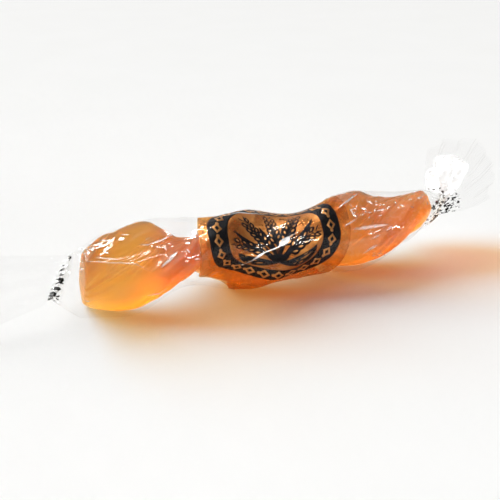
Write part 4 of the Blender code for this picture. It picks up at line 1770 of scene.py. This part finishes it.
class BARLEY_OT_gold_band(bpy.types.Operator):
    """Print the gold band round the middle of the film"""

    bl_idname = "barley.gold_band"
    bl_label = "Gold band"

    def execute(self, context):
        settings = context.scene.barley_print
        share = np.linspace(0.0, 1.0, BAND_ROWS)[:, None]
        heights = -np.arange(BAND_SIDES)[None, :] * TURN * PRINT_RADIUS / BAND_SIDES
        angle = settings.centre_angle - heights / PRINT_RADIUS
        left, right = (lean * np.cos(angle - way) for lean, way in BAND_SLANTS)
        left = left + BAND_TUCK * ramp(angle, *TUCK_FROM) * (1.0 - ramp(angle, *TUCK_TO))
        lengths = left + share * (right - left) + (share - 0.5) * settings.band_length
        flat = np.stack([lengths, np.broadcast_to(heights, lengths.shape)], axis=-1)
        ink("gold_band", [flat], BAND_LIFT, True, gold_print(settings))
        return {"FINISHED"}


class BARLEY_OT_oval_ring(bpy.types.Operator):
    """Print the black oval ring with its row of lozenges and dots"""

    bl_idname = "barley.oval_ring"
    bl_label = "Oval ring"

    def execute(self, context):
        settings = context.scene.barley_print
        black = material_named("black_print", black_print, settings)
        gold = material_named("gold_mark", gold_mark, settings)
        band = np.array([ring_oval(settings, share, RING_SIDES)
                         for share in np.linspace(0.0, 1.0, RING_ROWS)])
        ink("oval_ring", [band], RING_LIFT, True, black)
        rim = ring_oval(settings, GROUND_EDGE, GROUND_SIDES)
        ground = np.array([rim * share for share in np.linspace(1.0, GROUND_SMALLEST, GROUND_ROWS)])
        bronze = gold_print(settings, "bronze_print", BRONZE_COVER, BRONZE_TINT)
        ink("ring_ground", [ground], GROUND_LIFT, True, bronze)
        middle = ring_oval(settings, MARKS_AT, MARK_STEPS)
        halfway = np.roll(middle, -MARK_STEPS // 2 // RING_MARKS, axis=0)
        marks("ring_lozenges", middle, True, LOZENGE, MARK_LIFT, gold)
        marks("lozenge_centres", middle, True, LOZENGE_CENTRE, TOP_MARK_LIFT, black)
        marks("ring_dots", halfway, True, DOT, MARK_LIFT, gold)
        return {"FINISHED"}


class BARLEY_OT_barley_ears(bpy.types.Operator):
    """Print a sheaf of barley inside the ring"""

    bl_idname = "barley.barley_ears"
    bl_label = "Barley sheaf"

    def execute(self, context):
        settings = context.scene.barley_print
        black = material_named("black_print", black_print, settings)
        gold = material_named("gold_mark", gold_mark, settings)
        shapes = [leaf(corners, width) for corners, width in LEAVES]
        for corners, _ in EARS:
            shapes.append(leaf(corners, STALK_WIDTH))
            shapes += awns(corners)
        ink("barley_leaves", shapes, RING_LIFT, False, black)
        for side, (corners, count) in zip(EAR_SIDES, EARS):
            path = curve_through(corners, EAR_FROM, 1.0, EAR_STEPS)
            grain = dict(GRAIN, Count=count)
            light = dict(GRAIN_LIGHT, Count=count)
            marks("grains_" + side, path, False, grain, MARK_LIFT, black)
            marks("grain_lights_" + side, path, False, light, TOP_MARK_LIFT, gold)
        return {"FINISHED"}


class BARLEY_OT_stage(bpy.types.Operator):
    """Set the pale table, the soft light and the camera"""

    bl_idname = "barley.stage"
    bl_label = "Stage"

    def execute(self, context):
        scene = context.scene
        stage = scene.barley_stage
        scene.view_settings.view_transform = "Standard"
        scene.cycles.transparent_max_bounces = 48
        scene.cycles.max_bounces = 16
        scene.cycles.transmission_bounces = 14
        scene.cycles.caustics_refractive = False
        scene.cycles.caustics_reflective = False
        lay_table()
        scene.world = soft_room()
        key_lamp(stage)
        gleam()
        for strip in SHEENS:
            sheen(*strip)
        set_camera(stage)
        return {"FINISHED"}


OPERATORS = (
    BARLEY_OT_sugar_stick, BARLEY_OT_film_sleeve, BARLEY_OT_film_tails, BARLEY_OT_film_creases_and_highlights,
    BARLEY_OT_gold_band, BARLEY_OT_oval_ring, BARLEY_OT_barley_ears, BARLEY_OT_stage,
)
SETTINGS = (
    ("barley_stick", StickSettings), ("barley_film", FilmSettings),
    ("barley_print", PrintSettings), ("barley_stage", StageSettings),
)


class BARLEY_PT_maker(bpy.types.Panel):
    """The pieces of the wrapped stick, in the order they are made"""

    bl_idname = "BARLEY_PT_maker"
    bl_label = "Barley sugar stick"
    bl_space_type = "VIEW_3D"
    bl_region_type = "UI"
    bl_category = "Barley sugar"

    def draw(self, context):
        for operator in OPERATORS:
            self.layout.operator(operator.bl_idname)


def register():
    for name, settings in SETTINGS:
        bpy.utils.register_class(settings)
        setattr(bpy.types.Scene, name, bpy.props.PointerProperty(type=settings))
    for shown in OPERATORS + (BARLEY_PT_maker,):
        bpy.utils.register_class(shown)


def unregister():
    for shown in (BARLEY_PT_maker,) + OPERATORS[::-1]:
        bpy.utils.unregister_class(shown)
    for name, settings in SETTINGS[::-1]:
        delattr(bpy.types.Scene, name)
        bpy.utils.unregister_class(settings)


def main():
    """Make every piece and the stage."""
    register()
    bpy.ops.barley.sugar_stick()
    bpy.ops.barley.film_sleeve()
    bpy.ops.barley.film_tails()
    bpy.ops.barley.film_creases()
    bpy.ops.barley.gold_band()
    bpy.ops.barley.oval_ring()
    bpy.ops.barley.barley_ears()
    bpy.ops.barley.stage()


if __name__ == "__main__":
    main()
